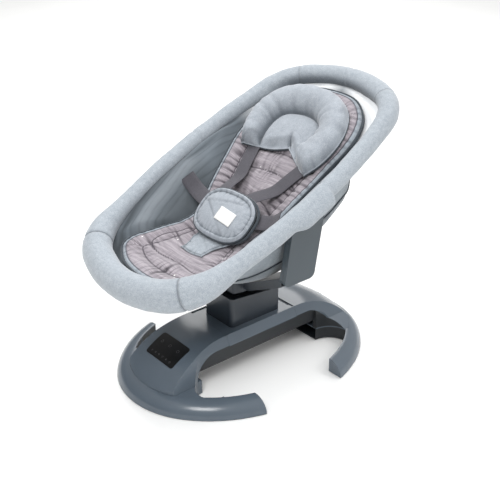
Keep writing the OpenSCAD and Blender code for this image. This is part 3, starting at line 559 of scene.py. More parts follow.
NODE_LOOKS = {
    SLATE: "front_foot_cover rear_foot_cover front_deck rear_deck bridge_cover",
    SLATE_ARM: "left_arm_cover right_arm_cover left_arm_liner right_arm_liner",
    HOUSING: "housing_shell left_recline_button right_recline_button",
    BLACK: "front_foot_tray rear_foot_tray bridge_beam dc_socket speaker housing_cap",
    DARK: "yoke_cover swing_hub",
    BUCKLE: "buckle_body buckle_tongues",
    RED: "buckle_button",
    WHITE_BOARD: "back_board",
    RUBBER: "rubber_feet",
    STEEL: "front_bearing rear_bearing swing_shaft drive_magnet centering_springs yoke_frame "
    "hinge_pins recline_springs hoop_frame left_hinge_plate right_hinge_plate buckle_spring base_screws",
    CAST: "bearing_blocks",
    PANEL: "control_panel",
    BOARD: "panel_board main_board",
    COPPER: "drive_coil",
}


def paint_nodes():
    """Gives every node of the assembly its material."""
    for material, names in NODE_LOOKS.items():
        for name in names.split():
            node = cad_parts[name]
            node.data.materials.clear()
            node.data.materials.append(material)


MERGE_DISTANCE = 0.00002
SMOOTH_BELOW_DEGREES = 24


def round_shading():
    """Modifier that joins a node's facets and shades its flatter edges as smooth."""
    group = bpy.data.node_groups.new("round_shading", "GeometryNodeTree")
    group.interface.new_socket("Geometry", in_out="INPUT", socket_type="NodeSocketGeometry")
    group.interface.new_socket("Geometry", in_out="OUTPUT", socket_type="NodeSocketGeometry")
    new = group.nodes.new
    start, end = new("NodeGroupInput"), new("NodeGroupOutput")
    plain, merge = new("GeometryNodeRemoveAttribute"), new("GeometryNodeMergeByDistance")
    plain.inputs["Name"].default_value = "custom_normal"
    merge.inputs["Distance"].default_value = MERGE_DISTANCE
    faces, edges = new("GeometryNodeSetShadeSmooth"), new("GeometryNodeSetShadeSmooth")
    faces.domain, edges.domain = "FACE", "EDGE"
    bend, flat = new("GeometryNodeInputMeshEdgeAngle"), new("FunctionNodeCompare")
    flat.data_type, flat.operation = "FLOAT", "LESS_EQUAL"
    flat.inputs[1].default_value = math.radians(SMOOTH_BELOW_DEGREES)
    link = group.links.new
    link(start.outputs[0], plain.inputs["Geometry"])
    link(plain.outputs[0], merge.inputs["Geometry"])
    link(merge.outputs[0], faces.inputs["Geometry"])
    link(faces.outputs[0], edges.inputs["Geometry"])
    link(bend.outputs["Unsigned Angle"], flat.inputs[0])
    link(flat.outputs[0], edges.inputs["Shade Smooth"])
    link(edges.outputs[0], end.inputs[0])
    return group


def shade_round():
    group = round_shading()
    for name in "front_foot_cover rear_foot_cover".split():
        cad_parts[name].modifiers.new("round_shading", "NODES").node_group = group


# ---- padded rolls of the hoop
ROLL_SPANS = {
    "left_roll": (-45, 59), "head_roll": (59, 121), "right_roll": (121, 225), "foot_roll": (225, 315)}
ROLL_GAP_DEGREES = 0.1
ROLL_STEP = 0.0042
ROLL_SIDES = 56
UNDER_SEAM = math.radians(-62)
JOIN_DEPTH = 0.0022
JOIN_WIDTH = 0.0030
HEAD_SEAM_DEPTH = 0.0020
SLEEVE_SEAM_V = 0.045
CAP_SHARE = 0.6


def side_drop(v, t):
    """How far the sleeve hangs out and down over the arm's top."""
    over_arm = smooth(-0.075, -0.040, v) * (1 - smooth(0.034, 0.046, v))
    return 0.013 * over_arm * np.maximum(0, np.cos(t + 0.85)) ** 1.5


def cross_seam(name, v, where):
    """Distance along the roll to the seam sewn across it, and that seam's depth."""
    if name == "head_roll":
        return np.abs(where - where[-1] / 2)[:, None], HEAD_SEAM_DEPTH
    if name == "foot_roll":
        return np.full_like(v, np.inf), 0
    return np.abs(v - SLEEVE_SEAM_V), JOIN_DEPTH


def roll_relief(name, a, t, where):
    """(radius, seam, painted shade) of a roll at hoop angle a and angle t round the roll."""
    to_end = np.minimum(where, where[-1] - where)[:, None]
    hoop_x, hoop_v = hoop(a)
    centre = to_row(hoop_x, hoop_v, 0)
    round_it = centre + 0.02 * np.stack([np.cos(t), np.sin(t), t * 0], -1)
    r = roll_radius(hoop_v)
    wrap = np.abs((t - UNDER_SEAM + math.pi) % (2 * math.pi) - math.pi) * r
    # The joins at the head end are drawn fainter than those at the foot end
    join = 1 - 0.7 * smooth(0, 0.2, hoop_v)
    near_end = np.exp(-to_end / 0.016) * join
    gather = np.sin(t * 13 + 5 * lumps(centre + t[..., None] * 0.01, 0.03, 3)) * near_end
    r = r + 0.0011 * lumps(round_it, 0.055, 1) + 0.0005 * lumps(round_it, 0.018, 2) + 0.0003 * gather
    r = r - JOIN_DEPTH * join * bump(to_end, 0, JOIN_WIDTH) - 0.0012 * bump(wrap, 0, 0.0022)
    crossing, depth = cross_seam(name, hoop_v, where)
    r = r - depth * bump(crossing, 0, JOIN_WIDTH)
    if name in ("left_roll", "right_roll"):
        r = r + side_drop(hoop_v, t)
    seam = 0.7 * bump(wrap, 0, 0.0010) + 0.35 * join * bump(to_end, 0, 0.0011)
    seam = seam + 0.4 * bump(crossing, 0, 0.0011)
    # Painted shade in the gathers' hollows, at the joins and along the under seam, on the roll's lower inner
    # side and over the head roll's inner side
    crease = np.clip(-gather, 0, 1) * 0.15 + 0.15 * join * bump(to_end, 0, 0.004) + 0.3 * bump(wrap, 0, 0.004)
    lower_inside = bump(t, 1.18 * math.pi, 0.42)
    inside = smooth(0.70 * math.pi, 0.98 * math.pi, t) * smooth(1.6 * math.pi, 1.4 * math.pi, t)
    crease = crease + 0.35 * lower_inside + 0.85 * inside * smooth(0.25, 0.34, hoop_v)
    return r, seam, crease


def with_ends(rows):
    """The rows with the first and the last one given twice."""
    return np.concatenate([rows[:1], rows, rows[-1:]])


def make_roll(name):
    """A sleeve over foam: pinched where it meets the next one, a seam along its underside."""
    start, end = ROLL_SPANS[name]
    angles, where = even_angles(start + ROLL_GAP_DEGREES, end - ROLL_GAP_DEGREES, ROLL_STEP)
    a, t = np.meshgrid(angles, full_turn(ROLL_SIDES), indexing="ij")
    r, seam, crease = roll_relief(name, a, t, where)
    a, t, r = with_ends(a), with_ends(t), with_ends(r)
    r[[0, -1]] *= CAP_SHARE
    x, v = hoop(a, -r * np.cos(t))
    points = to_row(x, v, r * np.sin(t))
    piece = build("soft_" + name, points, net(len(points), ROLL_SIDES, False, True, flip=True), "seat", KNIT,
                  seam=with_ends(np.clip(seam, 0, 1)), crease=with_ends(np.clip(crease, 0, 1)))
    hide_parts(name)


# ---- tub and lining
def rim_inset(v):
    """How far inside the hoop's centre line the tub is sewn on."""
    return roll_radius(v) + 0.001 + 0.005 * smooth(0.110, 0.060, np.abs(v))


def tub_depth(v):
    """Depth of the sling under the hoop: less toward the foot and toward the head."""
    toward_foot = 1 - (np.maximum(0, -0.050 - v) / 0.290) ** 1.7
    return 0.170 * toward_foot - 0.020 * smooth(-0.080, 0.140, v) - 0.062 * smooth(0.140, 0.190, v)


# Share of the way out to the hoop where the bottom ends, and where the piped seam runs
BOTTOM_SHARE = 0.62
PANEL_SHARE = 0.80
TUB_RIM_W = -0.014
UNDER_LINING = 0.0065


def tub_height(v, s):
    rise = np.maximum(0, (s - BOTTOM_SHARE) / (1 - BOTTOM_SHARE)) ** 1.5
    return TUB_RIM_W - tub_depth(v) * (1 - rise)


CUSHION_MIDDLE = (0.0, -0.006)
# Half of the cushion's outline from the head to the foot: wide back, waist, wide leg part
CUSHION_HALF = [
    (0.000, 0.322), (0.075, 0.313), (0.130, 0.278), (0.160, 0.225), (0.168, 0.170), (0.164, 0.117),
    (0.150, 0.059), (0.131, -0.020), (0.118, -0.062), (0.109, -0.098), (0.113, -0.135), (0.127, -0.173),
    (0.140, -0.215), (0.148, -0.250), (0.140, -0.283), (0.100, -0.309), (0.055, -0.322), (0.000, -0.327)]


BACK_NARROWING = 0.10


def cushion_edge():
    """The whole outline; the back is a little narrower on the baby's left."""
    half = np.array(CUSHION_HALF)
    narrower = 1 - BACK_NARROWING * smooth(0, 0.12, half[:, 1])
    left = np.stack([half[:, 0] * narrower, half[:, 1]], -1)
    return curve(np.concatenate([left, half[-2:0:-1] * (-1, 1)]))


def cushion_share(x, v):
    """How far from the cushion's middle to its edge a point lies: 1 on the edge."""
    edge = cushion_edge() - CUSHION_MIDDLE
    turn = np.arctan2(edge[:, 1], edge[:, 0])
    order = np.argsort(turn)
    reach = np.linalg.norm(edge, axis=1)[order]
    toward = np.arctan2(v - CUSHION_MIDDLE[1], x)
    return np.hypot(x, v - CUSHION_MIDDLE[1]) / np.interp(toward, turn[order], reach, period=2 * math.pi)


def lining_height(x, v):
    """Under the cushion, then rising from its edge to the rolls."""
    return rest(x, v) - 0.0245 + 0.019 * smooth(1, 1.22, cushion_share(x, v))


def hoop_grid(step, shares):
    """Hoop angles by shares of the way out from the middle, and the distances along the hoop."""
    angles, where = even_angles(0, 360, step)
    a, s = np.meshgrid(angles[:-1], shares, indexing="ij")
    return a, s, where[:-1, None]


def stretched_sheet(name, points, middle, material, thickness, offset, outward, **values):
    """A thick sheet from a hoop grid's points, closed at the middle point."""
    rows, columns = points.shape[:2]
    faces = net(rows, columns, True, False, flip=outward)
    for j in range(rows):
        here = j * columns + columns - 1
        there = (j + 1) % rows * columns + columns - 1
        faces.append((there, here, rows * columns) if outward else (here, there, rows * columns))
    every = np.concatenate([points.reshape(-1, 3), middle[None]])
    given = {key: np.append(np.clip(value, 0, 1), 0) for key, value in values.items()}
    piece = build(name, every, faces, "seat", material, **given)
    thick = piece.modifiers.new("thickness", "SOLIDIFY")
    thick.thickness = thickness
    thick.offset = offset
    return piece


def make_tub():
    """The sling under the seat: side panels down to a piped seam, then the bottom."""
    shares = np.concatenate([np.linspace(1, BOTTOM_SHARE, 26), np.linspace(0.58, 0.04, 14)])
    a, s, where = hoop_grid(0.009, shares)
    rim_x, rim_v = hoop(a, rim_inset(hoop(a)[1]))
    x, v = rim_x * s, rim_v * s
    w = np.minimum(tub_height(v, s), lining_height(x, v) - UNDER_LINING)
    at = to_row(x, v, w)
    fold = np.sin(where / 0.021 + 4 * lumps(at, 0.08, 11)) * bump(s, PANEL_SHARE, 0.05)
    w = w + 0.0016 * lumps(at, 0.06, 9) + 0.0007 * fold
    drawn_in = 1 - 0.010 * bump(s, 0.9, 0.05)
    seam = 0.8 * bump(s, PANEL_SHARE, 0.006)
    # Painted shade in the folds' hollows and over the whole bottom below the piped seam
    crease = np.clip(-fold, 0, 1) * 0.5 + 0.55 * smooth(PANEL_SHARE, PANEL_SHARE - 0.03, s)
    piece = stretched_sheet("soft_tub", to_row(x * drawn_in, v * drawn_in, w), to_row(0, 0, tub_height(0, 0)),
                            KNIT_SHADED, 0.002, 1, True, seam=seam, crease=crease)
    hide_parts("seat_tub")
    line_x, line_v = rim_x[:, 0] * PANEL_SHARE, rim_v[:, 0] * PANEL_SHARE
    line_w = np.minimum(tub_height(line_v, PANEL_SHARE), lining_height(line_x, line_v) - UNDER_LINING)
    piping("tub_piping", to_row(line_x, line_v, line_w - 0.0012), 0.0022)
    return piece


def lining_folds(a, s, x, v, w):
    """(rise, painted shade, shade) of the lining: long folds with painted shade in them, a smooth panel by
    the legs, white at the head.
    """
    at = to_row(x, v, w)
    share = cushion_share(x, v)
    outside = smooth(1.0, 1.06, share)
    leg_part = smooth(0.030, -0.040, v) * smooth(-0.260, -0.200, v)
    long_fold = np.sin(s * 60 + 4 * lumps(at, 0.11, 21) + 6 * v) * bump(s, 0.93, 0.05)
    between = np.clip((s - 0.72) / 0.24, 0, 1)
    panel = bump(between, 0.55, 0.26) * leg_part
    rise = outside * (0.0035 * long_fold * (1 - leg_part) + 0.0075 * panel) + 0.0012 * lumps(at, 0.03, 22)
    pleats = np.clip(np.sin(s * 130 + 5 * lumps(at, 0.09, 23) - 9 * v), 0, 1) ** 3
    # Painted shade: in the long folds' hollows, over the leg part round the smooth panel, in the pleats, next
    # to the rolls, round the cushion's edge and at the foot end, less on the white mesh
    crease = 0.8 * np.clip(-long_fold, 0, 1) * (1 - leg_part) + 0.9 * leg_part * (1 - panel) ** 2
    crease = outside * (crease + 0.45 * pleats * (1 - 0.5 * panel))
    crease = crease + 0.9 * bump(s, 1.0, 0.016) + 0.5 * bump(share, 1.0, 0.035)
    white = smooth(0.14, 0.24, v) * smooth(0.2, 0.5, np.abs(np.cos(a)) + 0.3 * (v > 0.25))
    crease = crease * (1 - 0.75 * white) + 0.6 * outside * smooth(-0.25, -0.30, v)
    return rise, crease, 1 - white - 0.08 * panel


def make_lining():
    """The inner lining between the rolls and the cushion, loose and folded along the sides."""
    shares = np.concatenate([np.linspace(1, 0.70, 30), np.linspace(0.65, 0.05, 12)])
    a, s, _ = hoop_grid(0.006, shares)
    rim_x, rim_v = hoop(a, 0.55 * roll_radius(hoop(a)[1]))
    x, v = rim_x * s, rim_v * s
    w = lining_height(x, v)
    w = np.where(s > 0.985, w + 0.006, w)
    rise, crease, shade = lining_folds(a, s, x, v, w)
    piece = stretched_sheet("soft_lining", to_row(x, v, w + rise), to_row(0, 0, lining_height(0, 0)),
                            MESH, 0.0012, -1, False, crease=crease, shade=shade, seam=0 * s)
    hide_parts("seat_lining")
    return piece


# ---- cushion
# How far inside the edge the two seams that follow it run
RIM_SEAM = 0.011
SIDE_SEAM = 0.045
# Seams from side to side: height at the sides, half-width, rise towards the middle
CROSS_SEAMS = ((0.098, 0.116, 0.024), (0.045, 0.104, 0.028), (-0.028, 0.084, 0.028))
# Half of the seam inside the leg part, from the seat round to the foot
LEG_SEAM = [
    (0.064, -0.137), (0.088, -0.165), (0.107, -0.200), (0.102, -0.232), (0.066, -0.243), (0.022, -0.240)]


def leg_seam():
    """The round-cornered seam inside the leg part of the cushion, open to the seat."""
    half = np.array(LEG_SEAM)
    corners = np.concatenate([half, half[::-1] * (-1, 1)])
    return curve(corners)[:-CURVE_STEPS]


def cross_seams():
    """Curved seams from side to side over the back and the seat."""
    seams = []
    for v, half, rise in CROSS_SEAMS:
        x = np.linspace(-half, half, 24)
        seams.append(np.stack([x, v + rise * (1 - (x / half) ** 2)], -1))
    return seams


def cushion_relief(x, v, to_edge, along_edge):
    """(height, seam, painted shade) of the quilting at points of the cushion: shade painted in the puckers'
    hollows and along the seams.
    """
    at = np.stack([x, v], -1)
    height = np.full(x.shape, 1.0)
    seam = np.zeros(x.shape)
    ripple = np.zeros(x.shape)
    rim = (np.abs(to_edge - RIM_SEAM), along_edge)
    side = (np.abs(to_edge - SIDE_SEAM), along_edge)
    # Each seam's distances, its depth, how strongly it puckers, how far the puckers reach
    lines = [(rim, 0.8, 0.45, 0.012), (side, 1.0, 1.0, 0.028), (to_line(at, leg_seam()), 0.9, 0.6, 0.016)]
    lines += [(to_line(at, line), 0.9, 0.8, 0.018) for line in cross_seams()]
    for (distance, along), depth, pucker, reach in lines:
        height = np.minimum(height, 1 - depth * np.exp(-((distance / 0.0085) ** 1.3)))
        seam = np.maximum(seam, bump(distance, 0, 0.0011))
        spot = np.stack([along, distance * 0.25, 0 * along + depth], -1)
        wave = np.sin(along / 0.0029 + 5.0 * lumps(spot, 0.022, 31)) * (0.45 + 0.55 * lumps(spot, 0.05, 32))
        fade = pucker * np.exp(-distance / reach) * (1 - 0.6 * bump(distance, 0, 0.002))
        ripple = ripple + wave * fade
    # Painted shade in the puckers' hollows and along the seams
    crease = 1.8 * np.clip(-ripple, 0, 1) + 0.6 * seam
    lift = 0.0072 * height + 0.0021 * ripple
    lift = lift * smooth(0.0, 0.009, to_edge)
    return lift, seam, crease


def make_cushion():
    """The printed cushion, quilted, with a knitted border and a double cord round its edge."""
    outline = evenly(cushion_edge(), 460)
    x, v, to_edge, along_edge = rings_out(outline, CUSHION_MIDDLE, 0.012, 120, 0.8, 200)
    lift, seam, crease = cushion_relief(x, v, to_edge, along_edge)
    at = to_row(x, v, 0)
    swell = 0.0022 * lumps(at, 0.07, 41) + 0.0010 * lumps(at, 0.03, 42)
    shoulder = 0.010 * (1 - np.sqrt(np.clip(to_edge / 0.012, 0, 1)))
    top = rest(x, v) - 0.004 + lift + swell * smooth(0, 0.02, to_edge) - shoulder
    under = rest(x, v) - 0.0225 + 0.006 * (1 - smooth(0, 0.010, to_edge))
    under = np.minimum(under, top - 0.0006)
    rim = 1 - smooth(0.0108, 0.0122, to_edge)
    piece = slab("soft_cushion", to_row(x, v, top), to_row(x, v, under), PRINT,
                 seam=seam, crease=crease, rim=rim)
    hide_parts("seat_cushion")
    edge = evenly(outline, 260)
    for name, below in (("cushion_piping", 0.0105), ("cushion_lower_piping", 0.0165)):
        piping(name, raised(edge, rest, -below), 0.0027)


# ---- head pillow
PILLOW_MIDDLE = (-0.006, 0.192)
# Outline from the head's side round to the pointed notch; the two tails are sharp corners
PILLOW_LINE = [
    (-0.010, 0.296), (0.048, 0.287), (0.096, 0.256), (0.127, 0.205), (0.137, 0.152), (0.129, 0.110),
    (0.108, 0.081), (0.108, 0.081), (0.084, 0.090), (0.046, 0.111), (0.006, 0.134), (0.006, 0.134),
    (-0.036, 0.118), (-0.078, 0.109), (-0.121, 0.100), (-0.121, 0.100), (-0.139, 0.138), (-0.147, 0.188),
    (-0.139, 0.236), (-0.110, 0.274), (-0.064, 0.293),
]
BOWL_MIDDLE = (-0.016, 0.172)
BOWL_HALF = (0.074, 0.054)


def make_pillow():
    """A horseshoe of filled fabric round a flatter pad, gathered at the seam between them."""
    outline = evenly(curve(PILLOW_LINE), 360)
    x, v, to_edge, _ = rings_out(outline, PILLOW_MIDDLE, 0.015, 100, 0.85, 200)
    across, along = (x - BOWL_MIDDLE[0]) / BOWL_HALF[0], (v - BOWL_MIDDLE[1]) / BOWL_HALF[1]
    lower = np.where(along < 0, 0.55, 1.0)
    bowl = (np.abs(across) ** 2.2 + np.abs(along * lower) ** 2.2) ** (1 / 2.2)
    from_bowl = (bowl - 1) * 0.062
    theta = np.arctan2(along, across)
    reach = np.clip(from_bowl, 0, 1)
    share = reach / np.maximum(reach + to_edge, 1e-6)
    at = to_row(x, v, 0)
    crown = np.sqrt(np.clip(4 * share * (1 - share), 0, 1))
    ring = 0.036 * crown * smooth(0.0, 0.030, reach + to_edge)
    spot = np.stack([theta * 0.09, reach * 0.4, 0 * theta], -1)
    gather = np.sin(theta * 13 + 7 * lumps(spot, 0.045, 51)) * (0.55 + 0.45 * lumps(spot, 0.08, 55))
    outer_gather = np.sin(theta * 17 + 8 * lumps(spot, 0.04, 52)) * np.exp(-to_edge / 0.014)
    gather = gather * np.exp(-np.abs(reach) / 0.026) * (bowl > 1)
    pad = 0.017 * (1 - np.minimum(bowl, 1) ** 3) * smooth(0, 0.022, to_edge)
    notch_line = [(0.006, 0.132), (0.002, 0.150), (-0.004, 0.172)]
    from_notch, along_notch = to_line(np.stack([x, v], -1), notch_line)
    fold = bump(from_notch, 0, 0.0045) * (1 - smooth(0.010, 0.040, along_notch))
    height = 0.006 + np.where(bowl < 1, pad, ring) - 0.007 * fold * smooth(0, 0.008, to_edge)
    height = height - 0.003 * bump(from_bowl, 0, 0.004) * smooth(0, 0.01, to_edge)
    height = height + (0.0024 * gather + 0.0016 * outer_gather) * smooth(0, 0.006, to_edge)
    height = height + 0.0022 * lumps(at, 0.04, 53) * smooth(0, 0.02, to_edge)
    base = rest(x, v) + 0.0042
    top = base + np.maximum(height, 0.0012)
    seam = 0.8 * bump(from_bowl, 0, 0.0014) * (to_edge > 0.004)
    # Painted shade in the gathers' hollows, along the pad's seam and in the notch's fold
    crease = 0.55 * np.clip(-gather, 0, 1) + 0.4 * np.clip(-outer_gather, 0, 1)
    crease = crease + 0.45 * bump(from_bowl, 0, 0.005) + 0.9 * fold
    piece = slab("soft_pillow", to_row(x, v, top), to_row(x, v, base), KNIT_PILLOW,
                 seam=seam, crease=crease)
    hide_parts("head_pillow")
    for lift, radius, material in ((0.0060, 0.0021, PIPING), (0.0094, 0.0016, KNIT_PILLOW)):
        piping("pillow_piping", raised(outline, rest, lift), radius, material)


# ---- harness
STRAP_WIDTH = 0.038
STRAP_THIN = 0.0008
STRAP_TURN = 0.25
# The strap's section, over its top and back underneath, in shares of its half-width and of STRAP_THIN
STRAP_TOP = [(-1, 0), (-0.94, 1), (-0.5, 1.1), (0, 1.2), (0.5, 1.1), (0.94, 1), (1, 0)]
STRAP_UNDER = [(0.9, -1), (0, -1), (-0.9, -1)]
# Ends (x, v) of the straps on the baby's left, from the seat's side to the buckle
SHOULDER_STRAP = ((0.090, 0.106), (0.038, -0.052))
WAIST_STRAP = ((0.164, -0.052), (0.058, -0.078))


def make_strap(node, line):
    """A flat woven strap with thickness and softly rounded edges along a line of points."""
    line = evenly(line, 60, False)
    ahead = np.gradient(line, axis=0)
    ahead /= np.linalg.norm(ahead, axis=1)[:, None]
    lean = SEAT_TILT + STRAP_TURN
    across = np.cross(ahead, (0.0, -math.sin(lean), math.cos(lean)))
    across /= np.linalg.norm(across, axis=1)[:, None]
    out = np.cross(across, ahead)
    profile = np.array(STRAP_TOP + STRAP_UNDER) * (STRAP_WIDTH / 2, STRAP_THIN)
    points = line[:, None] + profile[None, :, :1] * across[:, None] + profile[None, :, 1:] * out[:, None]
    n, last = len(profile), len(line) * len(profile) - 1
    faces = net(len(line), n, False, True) + [tuple(range(n)), tuple(range(last, last - n, -1))]
    along = np.linspace(0, 1, len(line))[:, None] * np.linalg.norm(line[-1] - line[0])
    piece = build("soft_" + node, points, faces, "seat", WEBBING, along=along, across=profile[None, :, 0])
    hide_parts(node)


def between(ends, t):
    """(x, v) at shares t of the way from one end to the other."""
    (x0, v0), (x1, v1) = ends
    return x0 + (x1 - x0) * t, v0 + (v1 - v0) * t


def make_straps():
    t = np.linspace(0, 1, 40)
    for side, sign in (("left", 1), ("right", -1)):
        x, v = between(SHOULDER_STRAP, t)
        w = rest(x, v) + 0.0062 + 0.006 * np.sin(t * math.pi) + 0.040 * smooth(0.45, 1.0, t)
        make_strap(side + "_shoulder_strap", to_row(sign * x, v, w))
        x, v = between(WAIST_STRAP, t)
        w = rest(x, v) + 0.0075 + 0.030 * smooth(0.2, 1.0, t)
        make_strap(side + "_waist_strap", to_row(sign * x, v, w))


def make_pad(node, outline, middle, floor, crown, thickness, rings, seed, material, seam_inset,
             fold_depth):
    """A small quilted pad with a sewn line inside its edge and a few soft folds."""
    x, v, to_edge, along = rings_out(outline, middle, 0.02, rings, 0.85, 120)
    at = to_row(x, v, 0)
    to_seam = np.abs(to_edge - seam_inset)
    wave = np.sin(along / 0.0031 + 4 * lumps(at, 0.015, seed)) * np.exp(-to_seam / 0.007)
    puffed = crown * (1 - np.exp(-((to_seam / 0.013) ** 1.2))) * (to_edge > seam_inset)
    rim = 0.35 * crown * bump(to_edge, seam_inset * 0.5, seam_inset * 0.4) * (to_edge <= seam_inset)
    up = v - middle[1]
    fold = bump(x * 0.6 + up, -0.018, 0.0035) + bump(x * -0.2 + up, 0.022, 0.004)
    fold = fold * smooth(seam_inset, seam_inset + 0.012, to_edge) * smooth(-1, 1, lumps(at, 0.02, seed + 1))
    rounding = thickness * 0.5 * (1 - np.sqrt(np.clip(to_edge / 0.005, 0, 1)))
    top = floor(x, v) + thickness + puffed + rim + 0.0007 * wave - fold_depth * fold
    top = top + 0.0008 * lumps(at, 0.02, seed + 2) - rounding
    under = np.minimum(floor(x, v) + rounding, top - 0.0003)
    seam = 0.8 * bump(to_edge, seam_inset, 0.0010)
    # Painted shade in the waves' hollows, in the folds and along the seam
    crease = 0.55 * np.clip(-wave, 0, 1) + 0.5 * fold + 0.3 * bump(to_edge, seam_inset, 0.003)
    piece = slab("soft_" + node, to_row(x, v, top), to_row(x, v, under), material,
                 seam=seam, crease=crease)
    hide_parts(node)


PAD_HALF = (0.088, 0.056)
PAD_MIDDLE = (0.012, -0.0935)
PAD_POWER = 2.7
PAD_FOOT_W = -0.0640
PAD_TILT = math.tan(math.radians(20))
PAD_THICKNESS = 0.0060
PAD_CROWN = 0.0085


def pad_floor(x, v):
    """Underside of the buckle's cover: its head edge stands up off the seat."""
    droop = 0.004 * (np.abs(x - PAD_MIDDLE[0]) / 0.09) ** 3
    return PAD_FOOT_W + (v - PAD_MIDDLE[1] + PAD_HALF[1]) * PAD_TILT - droop


def make_buckle_cover():
    """The quilted pad over the buckle, a cord round its edge and two more cords under it."""
    outline = evenly(oval_line(*PAD_HALF, PAD_POWER) + PAD_MIDDLE, 260)
    make_pad("buckle_pad", outline, PAD_MIDDLE, pad_floor, crown=PAD_CROWN, thickness=PAD_THICKNESS, rings=60,
             seed=61, material=KNIT_PILLOW, seam_inset=0.0100, fold_depth=0.0020)
    piping("buckle_pad_piping", raised(outline, pad_floor, 0.0030), 0.0021)
    under = oval_line(PAD_HALF[0] - 0.003, PAD_HALF[1] - 0.002, PAD_POWER)
    under = evenly(under + PAD_MIDDLE + (0.007, 0.004), 260)
    back = raised(under, pad_floor, -0.0035)
    middle = back.mean(0)
    for number, size in enumerate((1.0, 0.9)):
        piping(f"buckle_pad_back_{number}", middle + (back - middle) * size, 0.0034)


LABEL_HALF = (0.0275, 0.0148)
LABEL_MIDDLE = (0.030, -0.101)
LABEL_TURN = math.radians(-5)
LABEL_LIFT = 0.0014
LABEL_THICKNESS = 0.0016
LABEL_POINTS = 13


def make_label():
    """A blank woven patch in the middle of the buckle's pad."""
    n = LABEL_POINTS
    side = np.linspace(-1, 1, n)
    p, q = np.meshgrid(side, side, indexing="ij")
    along, up = LABEL_HALF[0] * p, LABEL_HALF[1] * q
    x = LABEL_MIDDLE[0] + along * math.cos(LABEL_TURN) - up * math.sin(LABEL_TURN)
    v = LABEL_MIDDLE[1] + along * math.sin(LABEL_TURN) + up * math.cos(LABEL_TURN)
    w = pad_floor(x, v) + PAD_THICKNESS + PAD_CROWN + LABEL_LIFT
    top, under = to_row(x, v, w), to_row(x, v, w - LABEL_THICKNESS)
    points = np.concatenate([top.reshape(-1, 3), under.reshape(-1, 3)])
    upper = net(n, n, flip=True)
    faces = upper + [tuple(i + n * n for i in face[::-1]) for face in upper]
    rim = list(range(n)) + [n * i + n - 1 for i in range(1, n)]
    rim += [n * (n - 1) + i for i in range(n - 2, -1, -1)] + [n * i for i in range(n - 2, 0, -1)]
    faces += [(a, b, b + n * n, a + n * n) for a, b in zip(rim, rim[1:] + rim[:1])]
    stitched = np.maximum(np.abs(p), np.abs(q)).ravel()
    seam = np.concatenate([0.5 * bump(stitched, 0.88, 0.03), 0 * stitched])
    piece = build("blank_label", points, faces, "seat", LABEL, seam=seam, crease=0 * seam)


def crotch_floor(x, v):
    """Underside of the crotch piece: on the cushion at the foot, up to the buckle at the head."""
    return np.maximum(rest(x, v) + 0.0040, -0.0745) + 0.018 * smooth(-0.150, -0.090, v)


# Outline of the crotch piece, round from its foot end; the two foot corners are sharp
CROTCH_LINE = [
    (0.036, -0.198), (0.036, -0.198), (0.0365, -0.184), (0.043, -0.164), (0.066, -0.140), (0.090, -0.118),
    (0.094, -0.100), (0.070, -0.086), (0.0, -0.082), (-0.052, -0.088), (-0.052, -0.112), (-0.040, -0.140),
    (-0.041, -0.162), (-0.0365, -0.184), (-0.036, -0.200), (-0.036, -0.200), (0.0, -0.2035),
]


def make_crotch_pad():
    outline = evenly(curve(CROTCH_LINE), 300)
    make_pad("crotch_strap", outline, (0.0, -0.140), crotch_floor, crown=0.0018, thickness=0.0045, rings=40,
             seed=71, material=KNIT, seam_inset=0.0045, fold_depth=0.0008)


# ---- small hard details
DECK_TOP = 0.118
BOW_START = 0.130
BOW_R = 0.204


def deck_height(x, y):
    """Height of the decks' upper surface: flat in the middle, then a bow down to the feet."""
    past = np.maximum(0, np.hypot(x, y) - BOW_START)
    return DECK_TOP - BOW_R + np.sqrt(BOW_R**2 - past**2)


def make_touch_marks():
    """Faint printed marks on the touch panel: a row of dots and a few small rings."""
    shader = Shader("panel_print", 0.5)
    wear_and_shade = shader.levels(shader.noise(600.0), 0.3, 0.7)
    shader.colour(shader.mix(wear_and_shade, "#4a4a4c", "#6a6a6c"))
    shader.relief(shader.noise(900.0), 0.2, 0.0001)
    spots = [(-0.034 + 0.0136 * i, -0.2405, 0.0016) for i in range(6)]
    spots += [(-0.030, -0.2140, 0.0032), (0.0, -0.2140, 0.0032), (0.030, -0.2140, 0.0032)]
    for number, (x, y, r) in enumerate(spots):
        t = full_turn(24)
        px, py = x + r * np.cos(t), y + r * np.sin(t)
        ring = np.stack([px, py, deck_height(px, py) + 0.0005], -1)
        piece = tube(f"touch_mark_{number}", ring, 0.00025, "base", shader.material, 6)


# ---- floor, light, camera
FLOOR_HALF = 14


def make_stage():
    """A plain pale floor."""
    shader = Shader("pale_floor", 0.7)
    tone = shader.levels(shader.noise(3.0), 0.3, 0.7)
    shader.colour(shader.mix(tone, "#fbfbfa", "#fefefd"))
    shader.relief(shader.noise(300.0), 0.02, 0.0002)
    mesh = bpy.data.meshes.new("floor")
    corners = [(x * FLOOR_HALF, y * FLOOR_HALF, 0) for x, y in ((-1, -1), (1, -1), (1, 1), (-1, 1))]
    mesh.from_pydata(corners, [], [(0, 1, 2, 3)])
    floor = bpy.data.objects.new("floor", mesh)
    scene.collection.objects.link(floor)
    floor.data.materials.append(shader.material)


def area_light(name, place, target, size, power):
    data = bpy.data.lights.new(name, "AREA")
    data.size = size
    data.energy = power
    lamp = bpy.data.objects.new(name, data)
    lamp.location = place
    lamp.rotation_euler = (Vector(target) - Vector(place)).to_track_quat("-Z", "Y").to_euler()
    scene.collection.objects.link(lamp)


# Where the room is bright, and how bright it is there and on the far side
BRIGHT_SIDE = (0.30, 0.42, 0.86)
SKY = {"From Min": -0.35, "From Max": 0.85, "To Min": 0.15, "To Max": 0.90}
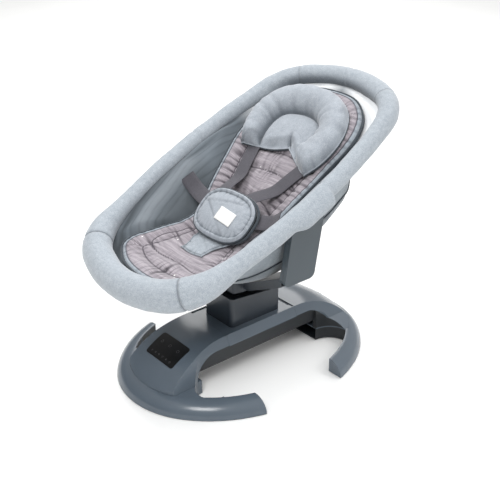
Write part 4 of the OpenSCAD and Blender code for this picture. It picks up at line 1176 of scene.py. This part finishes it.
# Soft lights: name, place, what it points at, side in metres, watts
LIGHTS = (
    ("overhead", (-1.0, -0.1, 2.3), (0, -0.1, 0.2), 0.8, 26),
    ("side", (1.6, 1.3, 1.9), (0, 0, 0.35), 0.5, 7),
    ("front", (1.05, -1.35, 1.95), (0.15, -0.2, 0), 0.8, 29),
    ("far_floor", (-3.2, 2.7, 2.2), (-2.4, 2.0, 0), 2.0, 40),
    ("behind", (0.5, 1.6, 2.4), (0, 0, 0.35), 0.8, 8),
)


def make_sky():
    """A room that is bright overhead and behind, and dark in front of the swing's foot end."""
    world = bpy.data.worlds.new("studio")
    world.use_nodes = True
    nodes, links = world.node_tree.nodes, world.node_tree.links
    place = nodes.new("ShaderNodeTexCoord")
    toward = nodes.new("ShaderNodeVectorMath")
    toward.operation = "DOT_PRODUCT"
    toward.inputs[1].default_value = BRIGHT_SIDE
    level = nodes.new("ShaderNodeMapRange")
    level.interpolation_type = "SMOOTHSTEP"
    for key, number in SKY.items():
        level.inputs[key].default_value = number
    links.new(place.outputs["Generated"], toward.inputs[0])
    links.new(toward.outputs["Value"], level.inputs["Value"])
    links.new(level.outputs["Result"], nodes["Background"].inputs["Strength"])
    nodes["Background"].inputs["Color"].default_value = (1, 1, 1, 1)
    scene.world = world


def make_light():
    make_sky()
    for light in LIGHTS:
        area_light(*light)
    scene.view_settings.view_transform = "Standard"
    scene.view_settings.look = "None"


CAMERA_PLACE = (1.3726, -1.1338, 1.1353)
CAMERA_YAW = math.radians(49.85)
CAMERA_PITCH = math.radians(25.76)
CAMERA_LENS_MM = 60.98
CAMERA_SENSOR_MM = 36


def make_camera():
    data = bpy.data.cameras.new("camera")
    data.sensor_width = CAMERA_SENSOR_MM
    data.lens = CAMERA_LENS_MM
    camera = bpy.data.objects.new("camera", data)
    camera.location = CAMERA_PLACE
    flat = math.cos(CAMERA_PITCH)
    ahead = Vector((-math.sin(CAMERA_YAW) * flat, math.cos(CAMERA_YAW) * flat, -math.sin(CAMERA_PITCH)))
    camera.rotation_euler = ahead.to_track_quat("-Z", "Y").to_euler()
    scene.collection.objects.link(camera)
    scene.camera = camera


# ---- the scene
paint_nodes()
shade_round()
for roll in ROLL_SPANS:
    make_roll(roll)
tub = make_tub()
lining = make_lining()
make_cushion()
make_pillow()
make_straps()
make_buckle_cover()
make_label()
make_crotch_pad()
make_touch_marks()
make_stage()
make_light()
make_camera()
